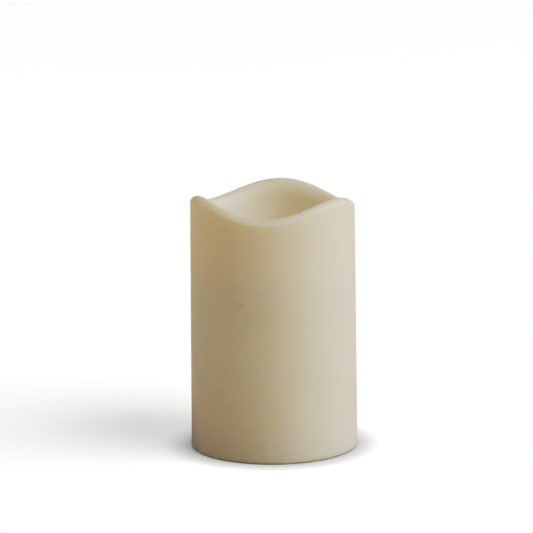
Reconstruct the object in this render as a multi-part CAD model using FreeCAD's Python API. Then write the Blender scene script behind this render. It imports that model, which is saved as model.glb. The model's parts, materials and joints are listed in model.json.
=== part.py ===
import FreeCAD, Part
import math
import os

# A battery-lit pillar candle, in millimetres. +Z is up, and the origin is the middle of the foot,
# on the surface that the candle stands on. One crest of the rim points along +Y.
#
# The shell is a cup at the top and an upside-down cup below, with a floor between them. The flame
# stands on that floor. Below it, a base housing holds two cells upright, one each way up. They
# stand on a contact disc in a screw-in cap, and a slide switch comes out beside the cap.

V = FreeCAD.Vector
UP = V(0, 0, 1)
FULL_TURN = 360.0
TINY = 0.01               # less than this apart counts as touching
OVERLAP = 1.0             # how far pieces that are joined or cut run into each other
BITE = 0.1                # the same, in sheet metal

# ---------------------------------------------------------------- screws
SCREW_GAP = 0.03          # between a screw's shank and the hole that it bites in
SCREW_PLAY = 0.25         # around a shank or a head that passes freely
TIP_GAP = 0.2             # past a screw's tip, in a blind hole
HEAD_CROWN, HEAD_RIM, HEAD_ROUND = 0.55, 0.35, 0.3            # shares of a head's radius, height, height
CROSS_ARM, CROSS_WIDTH, CROSS_DEPTH = 1.1, 0.24, 0.6          # shares of a head's radius, radius, height
HOUSING_SCREW = dict(head_radius=2.7, head_height=1.8, shank_radius=1.3, length=13.0)
COVER_SCREW = dict(head_radius=2.0, head_height=1.4, shank_radius=0.95, length=8.0)
BOARD_SCREW = dict(head_radius=1.9, head_height=1.3, shank_radius=0.9, length=5.0)
HOLDER_SCREW = dict(head_radius=1.9, head_height=1.3, shank_radius=0.9, length=6.0)
SWITCH_SCREW = dict(head_radius=1.8, head_height=1.2, shank_radius=0.8, length=2.4)
HOUSING_SCREW_SEAT = 4.2

# ---------------------------------------------------------------- shell
BASE_DIAMETER = 82.2
HEIGHT = 127.0            # to the crests of the rim
DRAFT = 0.0077            # what the outside loses in radius per millimetre of height
FOOT_ROUND = 2.0
WAVE_CRESTS = 3
WAVE_AMPLITUDE = 3.7      # half the drop from a crest to a trough
WAVE_ANGLE = math.radians(90)
WAVE_POINTS = 72
RIM_OUTER_ROUND = 2.6
RIM_INNER_ROUND = 4.0
RIM_THICKNESS = 6.8
CUTTER_MARGIN = 5.0       # how far the tool that cuts the wave stands out past the wall

WELL_FLOOR_Z = 90.0
WELL_FLOOR_RADIUS = 32.4
WELL_FLOOR_ROUND = 4.0
FLOOR_THICKNESS = 3.5
CEILING_Z = WELL_FLOOR_Z - FLOOR_THICKNESS
BAY_TOP_RADIUS = 34.6
BAY_BOTTOM_RADIUS = 36.0
BAY_ROUND = 2.0
SEAT_Z = 5.6              # the ledge inside the foot that the base housing is screwed against
RECESS_RADIUS = 37.0
FLAME_HOLE_RADIUS = 6.4

BOSS_X, BOSS_Y = 15.5, 29.1
BOSS_RADIUS = 3.6
BOSS_TOP_Z = 24.0
PAD_X = 14.0              # the two pads under the floor that the lamp holder is screwed to
PAD_RADIUS = 3.6
PAD_HEIGHT = 1.4

# ---------------------------------------------------------------- cells and screw-in cap
CELL_RADIUS = 7.1
CELL_LENGTH = 50.5        # over the positive nub
NUB_RADIUS, NUB_HEIGHT = 2.6, 1.2
NUB_FLARE, NUB_ROUND = 0.6, 0.4
CELL_STEP = 0.4           # how far the flat end stands out past the crimped edge
CELL_CRIMP, CELL_CRIMP_ROUND = 1.2, 0.3
CELL_SHOULDER_ROUND = 0.8
CELL_Y = 7.6              # each cell's axis, to the side of the cap's axis
CAP_X = -9.5              # the axis of the cap and of the pair of cells

THREAD_LEAD = 15.0        # per turn; the thread has three starts
THREAD_STARTS = 3
LEDGE_SPAN, LUG_SPAN = 50.0, 36.0
THREAD_THICKNESS = 1.8
LEDGE_Z = 5.8
THREAD_GAP = 0.25         # between the top of a ledge and the lug that hangs on it

PLATE_UNDER_Z = 3.0
PLATE_RADIUS = 36.7
COLLAR_BORE, COLLAR_RADIUS = 20.8, 24.2
COLLAR_ROOF_Z, COLLAR_TOP_Z = 13.7, 15.5
LEDGE_RADIUS = 19.2
CAP_SEAT_RADIUS, CAP_SEAT_Z = 23.6, 4.8
TUBE_RADIUS, TUBE_WALL = 9.4, 1.6
TUBE_TOP_Z = 63.4

CAP_UNDER_Z = 1.9
FLANGE_RADIUS, FLANGE_TOP_Z = 23.2, 3.9
SKIRT_RADIUS, SKIRT_WALL, SKIRT_TOP_Z = 18.8, 2.4, 12.5
CAP_FLOOR_Z = 5.9
CAP_ROUND = 0.5
LUG_RADIUS = 20.4
GRIP_RADIUS, GRIP_DEPTH, GRIP_BAR = 13.0, 2.4, 5.0
GRIP_ROUND = 0.8
SEAL_INNER, SEAL_OUTER, SEAL_TOP_Z = 21.0, 23.0, 4.75
SEAL_CROWN = 0.3          # half of its flat top, and the drop from there to its edges

DISC_RADIUS, DISC_THICKNESS, DISC_Z = 15.6, 0.5, 6.2
DISC_TOP_Z = DISC_Z + DISC_THICKNESS
DIMPLE_RADIUS, DIMPLE_HEIGHT = 2.8, 0.6
HUB_RADIUS = 4.0
RIVET_RADIUS, RIVET_HEAD_RADIUS, RIVET_HEAD = 1.2, 2.2, 0.9
RIVET_FOOT_Z = 3.5
DISC_PLAY = 0.3           # between the disc and the rivet's head
DISC_HOLE_PLAY = 0.5
CONTACT_GAP = 0.05

DOWNWARD_CELL_Z = DISC_TOP_Z + DIMPLE_HEIGHT + CONTACT_GAP    # its nub is on the disc
UPWARD_CELL_Z = 11.9                                          # its flat end is on the disc's spring

# ---------------------------------------------------------------- contacts, cover and board
CONTACT_THICKNESS = 0.4
CONTACT_SIZE = 9.0
TAB_WIDTH, TAB_PLAY, TAB_RISE = 3.0, 0.35, 0.9
POSITIVE_DIMPLE_TIP, POSITIVE_DIMPLE = 1.4, 2.2
SPRING_WIRE = 0.4
SPRING_TURNS, SPRING_POINTS = 4, 12
SPRING_WIDE, SPRING_NARROW = 4.6, 2.8

COVER_LOW_X, COVER_HIGH_X, COVER_Y = -24.0, 7.5, 17.0
COVER_THICKNESS = 2.0
COVER_TOP_Z = TUBE_TOP_Z + COVER_THICKNESS
COVER_SCREW_OFFSET = 11.6
COVER_BOSS_RADIUS, COVER_BOSS_Z, COVER_BOSS_TAPER = 3.0, 46.0, 4.0
COVER_CORNER, BOARD_CORNER, SWITCH_CORNER = 3.0, 1.5, 1.5

BOARD_LOW_X, BOARD_HIGH_X, BOARD_Y = -22.0, 14.0, 15.0
BOARD_Z, BOARD_THICKNESS = 70.0, 1.2
BOARD_TOP_Z = BOARD_Z + BOARD_THICKNESS
POST_X, POST_Y, POST_RADIUS = (-19.0, 4.0), 12.0, 2.6
PIN_RADIUS, PIN_PLAY, PIN_RISE = 1.0, 0.15, 0.8

CHIP_X, CHIP_Y = -14.5, -5.0
CHIP_WIDTH, CHIP_LENGTH, CHIP_LIFT, CHIP_TOP = 3.9, 4.9, 0.15, 1.6
CHIP_LEGS, CHIP_PITCH, CHIP_LEG_WIDTH = 4, 1.27, 0.4          # the legs along one side
CHIP_FOOT_X, CHIP_FOOT, CHIP_FOOT_TOP = 2.7, 0.7, 0.2
CHIP_KNEE_X, CHIP_KNEE, CHIP_KNEE_TOP = 2.2, 0.5, 0.9
CRYSTAL_X, CRYSTAL_Y, CRYSTAL_RADIUS, CRYSTAL_HEIGHT = -20.0, -3.5, 1.4, 6.5
CRYSTAL_FLANGE, CRYSTAL_FLANGE_TOP, CRYSTAL_SLOPE_TOP, CRYSTAL_ROUND = 1.6, 0.5, 0.6, 0.4
CAPACITOR_X, CAPACITOR_Y, CAPACITOR_RADIUS, CAPACITOR_HEIGHT = 9.5, -4.5, 2.5, 7.0
GROOVE_HEIGHT, GROOVE_HALF_WIDTH, GROOVE_DEPTH, CAPACITOR_ROUND = 1.4, 0.4, 0.3, 0.4
RESISTOR_X, RESISTOR_Y = 0.8, (-1.8, -4.6, -7.4)
RESISTOR_HALF, RESISTOR_END, RESISTOR_BULGE, RESISTOR_WAIST = 3.0, 0.9, 1.1, 0.85
BULGE_AT, WAIST_AT, RESISTOR_ROUND = 0.9, 1.5, 0.3            # from the end of the body
RESISTOR_LEAD, RESISTOR_LEAD_RADIUS, RESISTOR_STANDOFF = 4.6, 0.25, 1.45

# ---------------------------------------------------------------- flame and lamp
FLAME_FLANGE_RADIUS = 9.0
FLAME_NECK_RADIUS = 6.1
FLAME_LEAN = 1.0          # how far the tip stands off the axis
FLAME_TIP_Z = 108.6
FLAME_TIP_ROUND = 0.77
FLAME_OUTER = ((90.0, 6.1), (93.0, 6.6), (97.0, 6.2), (101.0, 4.9), (105.0, 3.0), (108.0, 1.1))
FLAME_INNER = ((84.5, 4.9), (92.0, 5.0), (97.0, 4.5), (101.0, 3.2), (104.6, 1.4))

LAMP_RADIUS, LAMP_FLANGE_RADIUS, LAMP_FLANGE, LAMP_FLAT = 2.5, 2.9, 1.0, 2.6
LAMP_Z, LAMP_LENGTH = 88.0, 8.6
LEAD_PITCH, LEAD_WIDTH, LEAD_FOOT_Z = 2.54, 0.5, 79.0
HOLDER_Z, HOLDER_RADIUS = 82.7, 10.2
HOLDER_TOP_Z = CEILING_Z - PAD_HEIGHT
STEM_RADIUS, STEM_BORE, STEM_FOOT_Z = 4.4, 1.95, 80.9

# ---------------------------------------------------------------- switch
SWITCH_X = 26.0
SWITCH_TRAVEL = 2.0       # each way from the middle of its three positions
SWITCH_LENGTH, SWITCH_WIDTH = 13.0, 7.0
SWITCH_PLATE, SWITCH_WALL = 0.5, 0.4
SWITCH_CASE_TOP_Z = 10.6
SWITCH_EAR_Y, SWITCH_PLATE_Y = 9.75, 12.0
SWITCH_BASE_Z, SWITCH_BASE_TOP_Z = 9.5, 11.2
LEVER_LENGTH, LEVER_WIDTH, LEVER_FOOT_Z, LEVER_ROUND = 3.2, 3.0, 1.4, 0.4
SLIDER_LENGTH, SLIDER_WIDTH, SLIDER_Z, SLIDER_TOP_Z = 5.4, 5.6, 6.4, 9.0
SLOT_GAP = 0.25
TERMINAL_Y = (-4.5, -1.5, 1.5, 4.5)
TERMINAL_TOP_Z = 14.2
TERMINAL_THICKNESS, TERMINAL_WIDTH, TERMINAL_TAIL = 0.4, 0.9, 0.3
WIRED_TERMINALS = (-4.5, -1.5, 4.5)

# ---------------------------------------------------------------- wires
WIRE_RADIUS = 0.6
SLEEVE_BORE, SLEEVE_RADIUS = 0.65, 1.0
SLEEVE_OVER_WIRE, SLEEVE_OVER_METAL = 2.0, 1.6
SWITCH_WIRE_X = BOARD_HIGH_X - 2.0
ARC_SHARE = 0.45          # of the shorter run beside it, which each bend may use


# ================================================================ helpers
def cylinder(radius, low, high, x=0.0, y=0.0):
    return Part.makeCylinder(radius, high - low, V(x, y, low))


def ring(inner, outer, low, high, x=0.0, y=0.0):
    return cylinder(outer, low, high, x, y).cut(cylinder(inner, low, high, x, y))


def block(x_low, x_high, y_low, y_high, z_low, z_high):
    return Part.makeBox(x_high - x_low, y_high - y_low, z_high - z_low, V(x_low, y_low, z_low))


def centred_block(x, y, x_size, y_size, z_low, z_high):
    return block(x - x_size / 2, x + x_size / 2, y - y_size / 2, y + y_size / 2, z_low, z_high)


def obround(radius, offset, low, high, x=0.0):
    """An upright slab with round ends, whose end axes are at y = -offset and +offset."""
    ends = [cylinder(radius, low, high, x, side * offset) for side in (-1, 1)]
    return centred_block(x, 0, 2 * radius, 2 * offset, low, high).multiFuse(ends).removeSplitter()


def fused(first, *others):
    return first.multiFuse(list(others)).removeSplitter()


def rounded_path(corners, closed):
    """Straight edges through the corners, each a (point, radius), with tangent arcs at the corners."""
    count = len(corners)
    stretches = []
    for i, (point, radius) in enumerate(corners):
        at_end = not closed and i in (0, count - 1)
        if at_end or radius <= 0:
            stretches.append((point, None, point))
            continue
        back = (corners[i - 1][0] - point).normalize()
        ahead = (corners[(i + 1) % count][0] - point).normalize()
        half_angle = back.getAngle(ahead) / 2
        reach = radius / math.tan(half_angle)
        middle = (back + ahead).normalize() * (radius / math.sin(half_angle) - radius)
        stretches.append((point + back * reach, point + middle, point + ahead * reach))
    edges = []
    for i, (arrive, middle, leave) in enumerate(stretches):
        if middle is not None:
            edges.append(Part.Arc(arrive, middle, leave).toShape())
        if closed or i < count - 1:
            following = stretches[(i + 1) % count][0]
            if (following - leave).Length > TINY:
                edges.append(Part.LineSegment(leave, following).toShape())
    return Part.Wire(edges)


def turned(corners, x=0.0):
    """A solid of revolution about the upright line at x. Each corner is (radius, z, rounding)."""
    outline = rounded_path([(V(r, 0, z), rounding) for r, z, rounding in corners], closed=True)
    solid = Part.Face(outline).revolve(V(0, 0, 0), UP, FULL_TURN)
    solid.translate(V(x, 0, 0))
    return solid


def rounded_plate(x_low, x_high, y_half, low, high, rounding):
    corners = [(x_low, -y_half), (x_high, -y_half), (x_high, y_half), (x_low, y_half)]
    outline = rounded_path([(V(x, y, low), rounding) for x, y in corners], closed=True)
    return Part.Face(outline).extrude(V(0, 0, high - low))


def pan_screw(x, y, seat, head_radius, head_height, shank_radius, length, points_up=True):
    """A pan-head screw with a cross recess. Its head lies against z = seat."""
    way = 1 if points_up else -1
    tip = shank_radius
    corners = [
        (0, -head_height, 0),
        (head_radius * HEAD_CROWN, -head_height, 0),
        (head_radius, -head_height * HEAD_RIM, head_height * HEAD_ROUND),
        (head_radius, 0, 0),
        (shank_radius, 0, 0),
        (shank_radius, length - tip, 0),
        (0, length, 0),
    ]
    screw = turned([(r, way * z, rounding) for r, z, rounding in corners])
    arm, slot, deep = head_radius * CROSS_ARM, head_radius * CROSS_WIDTH, head_height * CROSS_DEPTH
    low, high = sorted((-way * (head_height + OVERLAP), -way * (head_height - deep)))
    cross = centred_block(0, 0, arm, slot, low, high).fuse(centred_block(0, 0, slot, arm, low, high))
    screw = screw.cut(cross)
    screw.translate(V(x, y, seat))
    return screw


def helical_block(inner, outer, low, start, span):
    """A piece of thread about the cap's axis. It climbs anticlockwise, seen from above."""
    rise = THREAD_LEAD * span / FULL_TURN
    helix = Part.makeHelix(THREAD_LEAD, rise, (inner + outer) / 2)
    corners = [V(inner, 0, 0), V(outer, 0, 0), V(outer, 0, THREAD_THICKNESS), V(inner, 0, THREAD_THICKNESS)]
    section = Part.makePolygon(corners + corners[:1])
    piece = Part.Wire(helix.Edges).makePipeShell([section], True, True)
    piece.rotate(V(0, 0, 0), UP, start)
    piece.translate(V(CAP_X, 0, low))
    return piece


def tube_along(points, tube_radius):
    """A round tube through the points, with bends as large as the runs beside them allow."""
    corners = [(points[0], 0)]
    for before, point, after in zip(points, points[1:], points[2:]):
        back, ahead = before - point, after - point
        turn = math.pi - back.getAngle(ahead)
        corners.append((point, ARC_SHARE * min(back.Length, ahead.Length) / math.tan(turn / 2)))
    corners.append((points[-1], 0))
    path = rounded_path(corners, closed=False)
    section = Part.Wire(Part.makeCircle(tube_radius, points[0], points[1] - points[0]))
    tube = path.makePipeShell([section], True, True)
    tightest = min(radius for _, radius in corners[1:-1])
    expected = math.pi * tube_radius**2 * path.Length
    print(f"tube {path.Length:.0f} mm, tightest bend {tightest:.1f} mm, volume {tube.Volume / expected:.4f}")
    return tube


def coil(x, y, wide_z, narrow_z):
    """A cone spring. Its wide end is at wide_z and its narrow end at narrow_z, over the wire."""
    way = 1 if narrow_z > wide_z else -1
    first, last = wide_z + way * SPRING_WIRE, narrow_z - way * SPRING_WIRE
    steps = SPRING_TURNS * SPRING_POINTS
    points = []
    for i in range(steps + 1):
        share, angle = i / steps, 2 * math.pi * i / SPRING_POINTS
        radius = SPRING_WIDE + (SPRING_NARROW - SPRING_WIDE) * share
        z = first + (last - first) * share
        points.append(V(x + radius * math.cos(angle), y + radius * math.sin(angle), z))
    return tube_along(points, SPRING_WIRE)


def wire_along(points):
    return tube_along(points, WIRE_RADIUS)


def outer_radius(z):
    return BASE_DIAMETER / 2 - DRAFT * z


def wave_height(angle):
    middle = HEIGHT - WAVE_AMPLITUDE
    return middle + WAVE_AMPLITUDE * math.cos(WAVE_CRESTS * (angle - WAVE_ANGLE))


def wave_curve(radius):
    """The rim's wave, drawn on an upright cylinder of that radius."""
    points = []
    for i in range(WAVE_POINTS):
        angle = 2 * math.pi * i / WAVE_POINTS
        points.append(V(radius * math.cos(angle), radius * math.sin(angle), wave_height(angle)))
    curve = Part.BSplineCurve()
    curve.interpolate(Points=points, PeriodicFlag=True)
    return curve.toShape()


def wave_cutter(blank_top):
    """Everything above the wave, as a thick ring around the wall."""
    inside, outside = WELL_FLOOR_RADIUS - CUTTER_MARGIN, BASE_DIAMETER / 2 + CUTTER_MARGIN
    top = blank_top + CUTTER_MARGIN
    inner_wave, outer_wave = wave_curve(inside), wave_curve(outside)
    inner_top = Part.makeCircle(inside, V(0, 0, top))
    outer_top = Part.makeCircle(outside, V(0, 0, top))
    loop = [inner_wave, outer_wave, outer_top, inner_top, inner_wave]
    faces = [Part.makeRuledSurface(a, b) for a, b in zip(loop, loop[1:])]
    shell = Part.makeShell(faces)
    shell.sewShape()
    solid = Part.makeSolid(Part.Shell(shell.Faces))
    if solid.Volume < 0:
        solid.reverse()
    return solid


# ================================================================ shell
def housing_screw_places():
    return [(x, y) for x in (-BOSS_X, BOSS_X) for y in (-BOSS_Y, BOSS_Y)]


def candle_shell():
    blank_top = HEIGHT + WAVE_AMPLITUDE
    rim_inside = outer_radius(HEIGHT) - RIM_THICKNESS
    rim_middle = rim_inside + RIM_THICKNESS / 2
    shell = turned([
        (RECESS_RADIUS, 0, 0),
        (BASE_DIAMETER / 2, 0, FOOT_ROUND),
        (outer_radius(blank_top), blank_top, 0),
        (rim_inside, blank_top, 0),
        (WELL_FLOOR_RADIUS, WELL_FLOOR_Z, WELL_FLOOR_ROUND),
        (FLAME_HOLE_RADIUS, WELL_FLOOR_Z, 0),
        (FLAME_HOLE_RADIUS, CEILING_Z, 0),
        (BAY_TOP_RADIUS, CEILING_Z, BAY_ROUND),
        (BAY_BOTTOM_RADIUS, SEAT_Z, 0),
        (RECESS_RADIUS, SEAT_Z, 0),
    ])
    shell = shell.cut(wave_cutter(blank_top))

    def rim_edges(solid, low_radius, high_radius):
        trough = HEIGHT - 2 * WAVE_AMPLITUDE
        return [
            e for e in solid.Edges
            if e.BoundBox.ZMin > trough - OVERLAP and low_radius < e.BoundBox.XMax < high_radius
        ]

    shell = shell.makeFillet(RIM_OUTER_ROUND, rim_edges(shell, rim_middle, BASE_DIAMETER))
    shell = shell.makeFillet(RIM_INNER_ROUND, rim_edges(shell, 0, rim_middle))

    # Four bosses on the bay's wall take the housing's screws, and two pads the lamp holder's.
    wall_side = cylinder(outer_radius(HEIGHT), SEAT_Z, CEILING_Z + OVERLAP)
    for x, y in housing_screw_places():
        boss = turned([
            (0, SEAT_Z, 0), (BOSS_RADIUS, SEAT_Z, 0), (BOSS_RADIUS, BOSS_TOP_Z, 0),
            (0, BOSS_TOP_Z + BOSS_RADIUS, 0),
        ])
        boss.translate(V(x, y, 0))
        shell = shell.fuse(boss.common(wall_side))
        hole_top = HOUSING_SCREW_SEAT + HOUSING_SCREW["length"] + TIP_GAP
        shell = shell.cut(cylinder(HOUSING_SCREW["shank_radius"] + SCREW_GAP, SEAT_Z, hole_top, x, y))
    for x in (-PAD_X, PAD_X):
        shell = shell.fuse(cylinder(PAD_RADIUS, HOLDER_TOP_Z, CEILING_Z + OVERLAP, x))
        hole_top = HOLDER_Z + HOLDER_SCREW["length"] + TIP_GAP
        shell = shell.cut(cylinder(HOLDER_SCREW["shank_radius"] + SCREW_GAP, HOLDER_TOP_Z, hole_top, x))
    return shell.removeSplitter()


# ================================================================ flame and lamp
def leaning_loft(sections):
    """A loft through level circles, each (z, radius), whose centres lean towards +X with height."""
    wires = []
    for z, radius in sections:
        share = max(0.0, (z - WELL_FLOOR_Z) / (FLAME_TIP_Z - WELL_FLOOR_Z))
        wires.append(Part.Wire(Part.makeCircle(radius, V(FLAME_LEAN * share**2, 0, z))))
    return Part.makeLoft(wires, True, False)


def flame_tip():
    flame = leaning_loft(FLAME_OUTER)
    top_z = FLAME_OUTER[-1][0]
    tip_edges = [e for e in flame.Edges if e.BoundBox.ZMin > top_z - TINY and e.isClosed()]
    flame = flame.makeFillet(FLAME_TIP_ROUND, tip_edges)
    neck = cylinder(FLAME_NECK_RADIUS, HOLDER_TOP_Z, WELL_FLOOR_Z)
    flange = cylinder(FLAME_FLANGE_RADIUS, HOLDER_TOP_Z, CEILING_Z)
    return fused(flame, neck, flange).cut(leaning_loft(FLAME_INNER))


def led_lens():
    dome_z = LAMP_Z + LAMP_LENGTH - LAMP_RADIUS
    flange = cylinder(LAMP_FLANGE_RADIUS, LAMP_Z, LAMP_Z + LAMP_FLANGE)
    side = LAMP_FLANGE_RADIUS + OVERLAP
    flat = block(-side, -LAMP_FLAT, -side, side, LAMP_Z - OVERLAP, LAMP_Z + LAMP_FLANGE + OVERLAP)
    dome = Part.makeSphere(LAMP_RADIUS, V(0, 0, dome_z))
    return fused(flange.cut(flat), cylinder(LAMP_RADIUS, LAMP_Z, dome_z), dome)


def lead_places():
    return [(side * LEAD_PITCH / 2, 0.0) for side in (-1, 1)]


def led_leads():
    return Part.makeCompound([
        centred_block(x, y, LEAD_WIDTH, LEAD_WIDTH, LEAD_FOOT_Z, LAMP_Z) for x, y in lead_places()
    ])


def led_holder():
    ears = obround(PAD_RADIUS, PAD_X, HOLDER_Z, HOLDER_TOP_Z)
    ears.rotate(V(0, 0, 0), UP, FULL_TURN / 4)
    holder = fused(
        cylinder(HOLDER_RADIUS, HOLDER_Z, HOLDER_TOP_Z), ears,
        cylinder(STEM_RADIUS, STEM_FOOT_Z, LAMP_Z),
    )
    holder = holder.cut(cylinder(STEM_BORE, STEM_FOOT_Z, LAMP_Z))
    for x in (-PAD_X, PAD_X):
        holder = holder.cut(cylinder(HOLDER_SCREW["shank_radius"] + SCREW_PLAY, HOLDER_Z, HOLDER_TOP_Z, x))
    return holder


def led_holder_screws():
    return Part.makeCompound([pan_screw(x, 0, HOLDER_Z, **HOLDER_SCREW) for x in (-PAD_X, PAD_X)])


def led_sleeves():
    """Shrunk sleeves over the joints between the lamp's leads and its wires."""
    low, high = LEAD_FOOT_Z - SLEEVE_OVER_WIRE, LEAD_FOOT_Z + SLEEVE_OVER_METAL
    return Part.makeCompound([ring(SLEEVE_BORE, SLEEVE_RADIUS, low, high, x, y) for x, y in lead_places()])


def led_wire(side):
    """From a lead, over the board's edge, down in a slack loop beside the cells, and back to the board."""
    lead = side * LEAD_PITCH / 2
    apart = 1.1 * side
    return wire_along([
        V(lead, 0, LEAD_FOOT_Z - CONTACT_GAP),
        V(lead, 0, 75.4),
        V(lead, 2.5, 72.9),
        V(lead - 0.5, 9.0, 73.1 + 0.2 * side),
        V(lead - 2.5, 17.0, 73.5),
        V(-3.5 + apart, 22.6 + 0.8 * side, 68.4),
        V(-5.5 + apart, 24.0 + apart, 59.0),
        V(-8.0 + 0.4 * side, 24.4 + apart, 53.4 - 1.4 * side),
        V(-11.0 + 0.4 * side, 24.4 + apart, 50.0 - 1.4 * side),
        V(-15.0 - 0.2 * side, 23.8 + apart, 49.8 - 1.4 * side),
        V(-18.0 - 0.6 * side, 22.8 + apart, 52.8 - 1.4 * side),
        V(-19.0 - 1.2 * side, 21.8 + apart, 59.0),
        V(-17.6 - 1.4 * side, 20.4 + apart, 67.0),
        V(-14.8 - 1.4 * side, 16.6 + 0.9 * side, 74.8 + 0.6 * side),
        V(-13.2 - 1.4 * side, 11.4 + 0.5 * side, 78.2 + 0.6 * side),
        V(-13.0 - 1.4 * side, 7.0, 77.8 + 0.6 * side),
        V(-13.0 - 1.4 * side, 4.4, 74.8 + 0.3 * side),
        V(-13.0 - 1.4 * side, 4.4, BOARD_TOP_Z),
    ])


# ================================================================ base housing
def base_housing():
    plate = cylinder(PLATE_RADIUS, PLATE_UNDER_Z, SEAT_Z)
    collar = cylinder(COLLAR_RADIUS, PLATE_UNDER_Z, COLLAR_TOP_Z, CAP_X)
    tube = obround(TUBE_RADIUS, CELL_Y, COLLAR_ROOF_Z, TUBE_TOP_Z, CAP_X)
    cover_bosses = []
    for x in cover_screw_places():
        cover_bosses.append(turned([
            (0, COVER_BOSS_Z, 0), (COVER_BOSS_RADIUS, COVER_BOSS_Z + COVER_BOSS_TAPER, 0),
            (COVER_BOSS_RADIUS, TUBE_TOP_Z, 0), (0, TUBE_TOP_Z, 0),
        ], x))
    housing = fused(plate, collar, tube, *cover_bosses)
    housing = housing.cut(obround(TUBE_RADIUS - TUBE_WALL, CELL_Y, PLATE_UNDER_Z, TUBE_TOP_Z, CAP_X))
    housing = housing.cut(cylinder(COLLAR_BORE, PLATE_UNDER_Z, COLLAR_ROOF_Z, CAP_X))
    housing = housing.cut(cylinder(CAP_SEAT_RADIUS, PLATE_UNDER_Z, CAP_SEAT_Z, CAP_X))
    for start in range(THREAD_STARTS):
        angle = start * FULL_TURN / THREAD_STARTS
        ledge = helical_block(LEDGE_RADIUS, COLLAR_BORE + OVERLAP, LEDGE_Z, angle, LEDGE_SPAN)
        housing = housing.fuse(ledge)
    for x in cover_screw_places():
        radius = COVER_SCREW["shank_radius"] + SCREW_GAP
        low = COVER_TOP_Z - COVER_SCREW["length"] - TIP_GAP
        housing = housing.cut(cylinder(radius, low, TUBE_TOP_Z, x))
    for x, y in housing_screw_places():
        radius = HOUSING_SCREW["shank_radius"] + SCREW_PLAY
        housing = housing.cut(cylinder(radius, PLATE_UNDER_Z, SEAT_Z, x, y))
        head = HOUSING_SCREW["head_radius"] + SCREW_PLAY
        housing = housing.cut(cylinder(head, PLATE_UNDER_Z, HOUSING_SCREW_SEAT, x, y))
    slot_length = LEVER_LENGTH + 2 * (SWITCH_TRAVEL + SLOT_GAP)
    slot_width = LEVER_WIDTH + 2 * SLOT_GAP
    housing = housing.cut(centred_block(SWITCH_X, 0, slot_width, slot_length, PLATE_UNDER_Z, SEAT_Z))
    for y in (-SWITCH_EAR_Y, SWITCH_EAR_Y):
        radius = SWITCH_SCREW["shank_radius"] + SCREW_GAP
        low = SEAT_Z + SWITCH_PLATE - SWITCH_SCREW["length"] - TIP_GAP
        housing = housing.cut(cylinder(radius, low, SEAT_Z, SWITCH_X, y))
    return housing


def housing_screws():
    return Part.makeCompound([
        pan_screw(x, y, HOUSING_SCREW_SEAT, **HOUSING_SCREW) for x, y in housing_screw_places()
    ])


# ================================================================ cap
def battery_cap():
    cap = turned([
        (0, CAP_UNDER_Z, 0),
        (FLANGE_RADIUS, CAP_UNDER_Z, CAP_ROUND),
        (FLANGE_RADIUS, FLANGE_TOP_Z, 0),
        (SKIRT_RADIUS, FLANGE_TOP_Z, 0),
        (SKIRT_RADIUS, SKIRT_TOP_Z, CAP_ROUND),
        (SKIRT_RADIUS - SKIRT_WALL, SKIRT_TOP_Z, CAP_ROUND),
        (SKIRT_RADIUS - SKIRT_WALL, CAP_FLOOR_Z, CAP_ROUND),
        (HUB_RADIUS, CAP_FLOOR_Z, 0),
        (HUB_RADIUS, DISC_Z - CONTACT_GAP, 0),
        (0, DISC_Z - CONTACT_GAP, 0),
    ], CAP_X)
    lug_start = (LEDGE_SPAN - LUG_SPAN) / 2
    lug_z = LEDGE_Z + THREAD_THICKNESS + THREAD_GAP + THREAD_LEAD * lug_start / FULL_TURN
    for start in range(THREAD_STARTS):
        angle = start * FULL_TURN / THREAD_STARTS + lug_start
        cap = cap.fuse(helical_block(SKIRT_RADIUS - OVERLAP, LUG_RADIUS, lug_z, angle, LUG_SPAN))
    # Two finger wells leave a bar across the middle, to turn the cap by.
    wells = cylinder(GRIP_RADIUS, CAP_UNDER_Z, CAP_UNDER_Z + GRIP_DEPTH, CAP_X)
    bar = centred_block(CAP_X, 0, GRIP_BAR, 2 * GRIP_RADIUS, CAP_UNDER_Z, CAP_UNDER_Z + GRIP_DEPTH)
    wells = wells.cut(bar)
    inner_edges = [e for e in wells.Edges if e.BoundBox.ZMin > CAP_UNDER_Z + GRIP_DEPTH - TINY]
    wells = wells.makeFillet(GRIP_ROUND, inner_edges)
    cap = cap.cut(wells)
    return cap.cut(cylinder(RIVET_RADIUS, RIVET_FOOT_Z, DISC_Z, CAP_X))


def cap_seal():
    low, middle, edge = FLANGE_TOP_Z, (SEAL_INNER + SEAL_OUTER) / 2, SEAL_TOP_Z - SEAL_CROWN
    return turned([
        (SEAL_INNER, low, 0), (SEAL_OUTER, low, 0), (SEAL_OUTER, edge, 0),
        (middle + SEAL_CROWN, SEAL_TOP_Z, 0), (middle - SEAL_CROWN, SEAL_TOP_Z, 0), (SEAL_INNER, edge, 0),
    ], CAP_X)


def cap_rivet():
    low = DISC_TOP_Z + DISC_PLAY
    shank = cylinder(RIVET_RADIUS, RIVET_FOOT_Z, low, CAP_X)
    head = turned([
        (0, low, 0), (RIVET_HEAD_RADIUS, low, 0), (RIVET_HEAD_RADIUS, low + RIVET_HEAD * HEAD_RIM, 0),
        (RIVET_HEAD_RADIUS * HEAD_CROWN, low + RIVET_HEAD, 0), (0, low + RIVET_HEAD, 0),
    ], CAP_X)
    return fused(shank, head)


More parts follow.
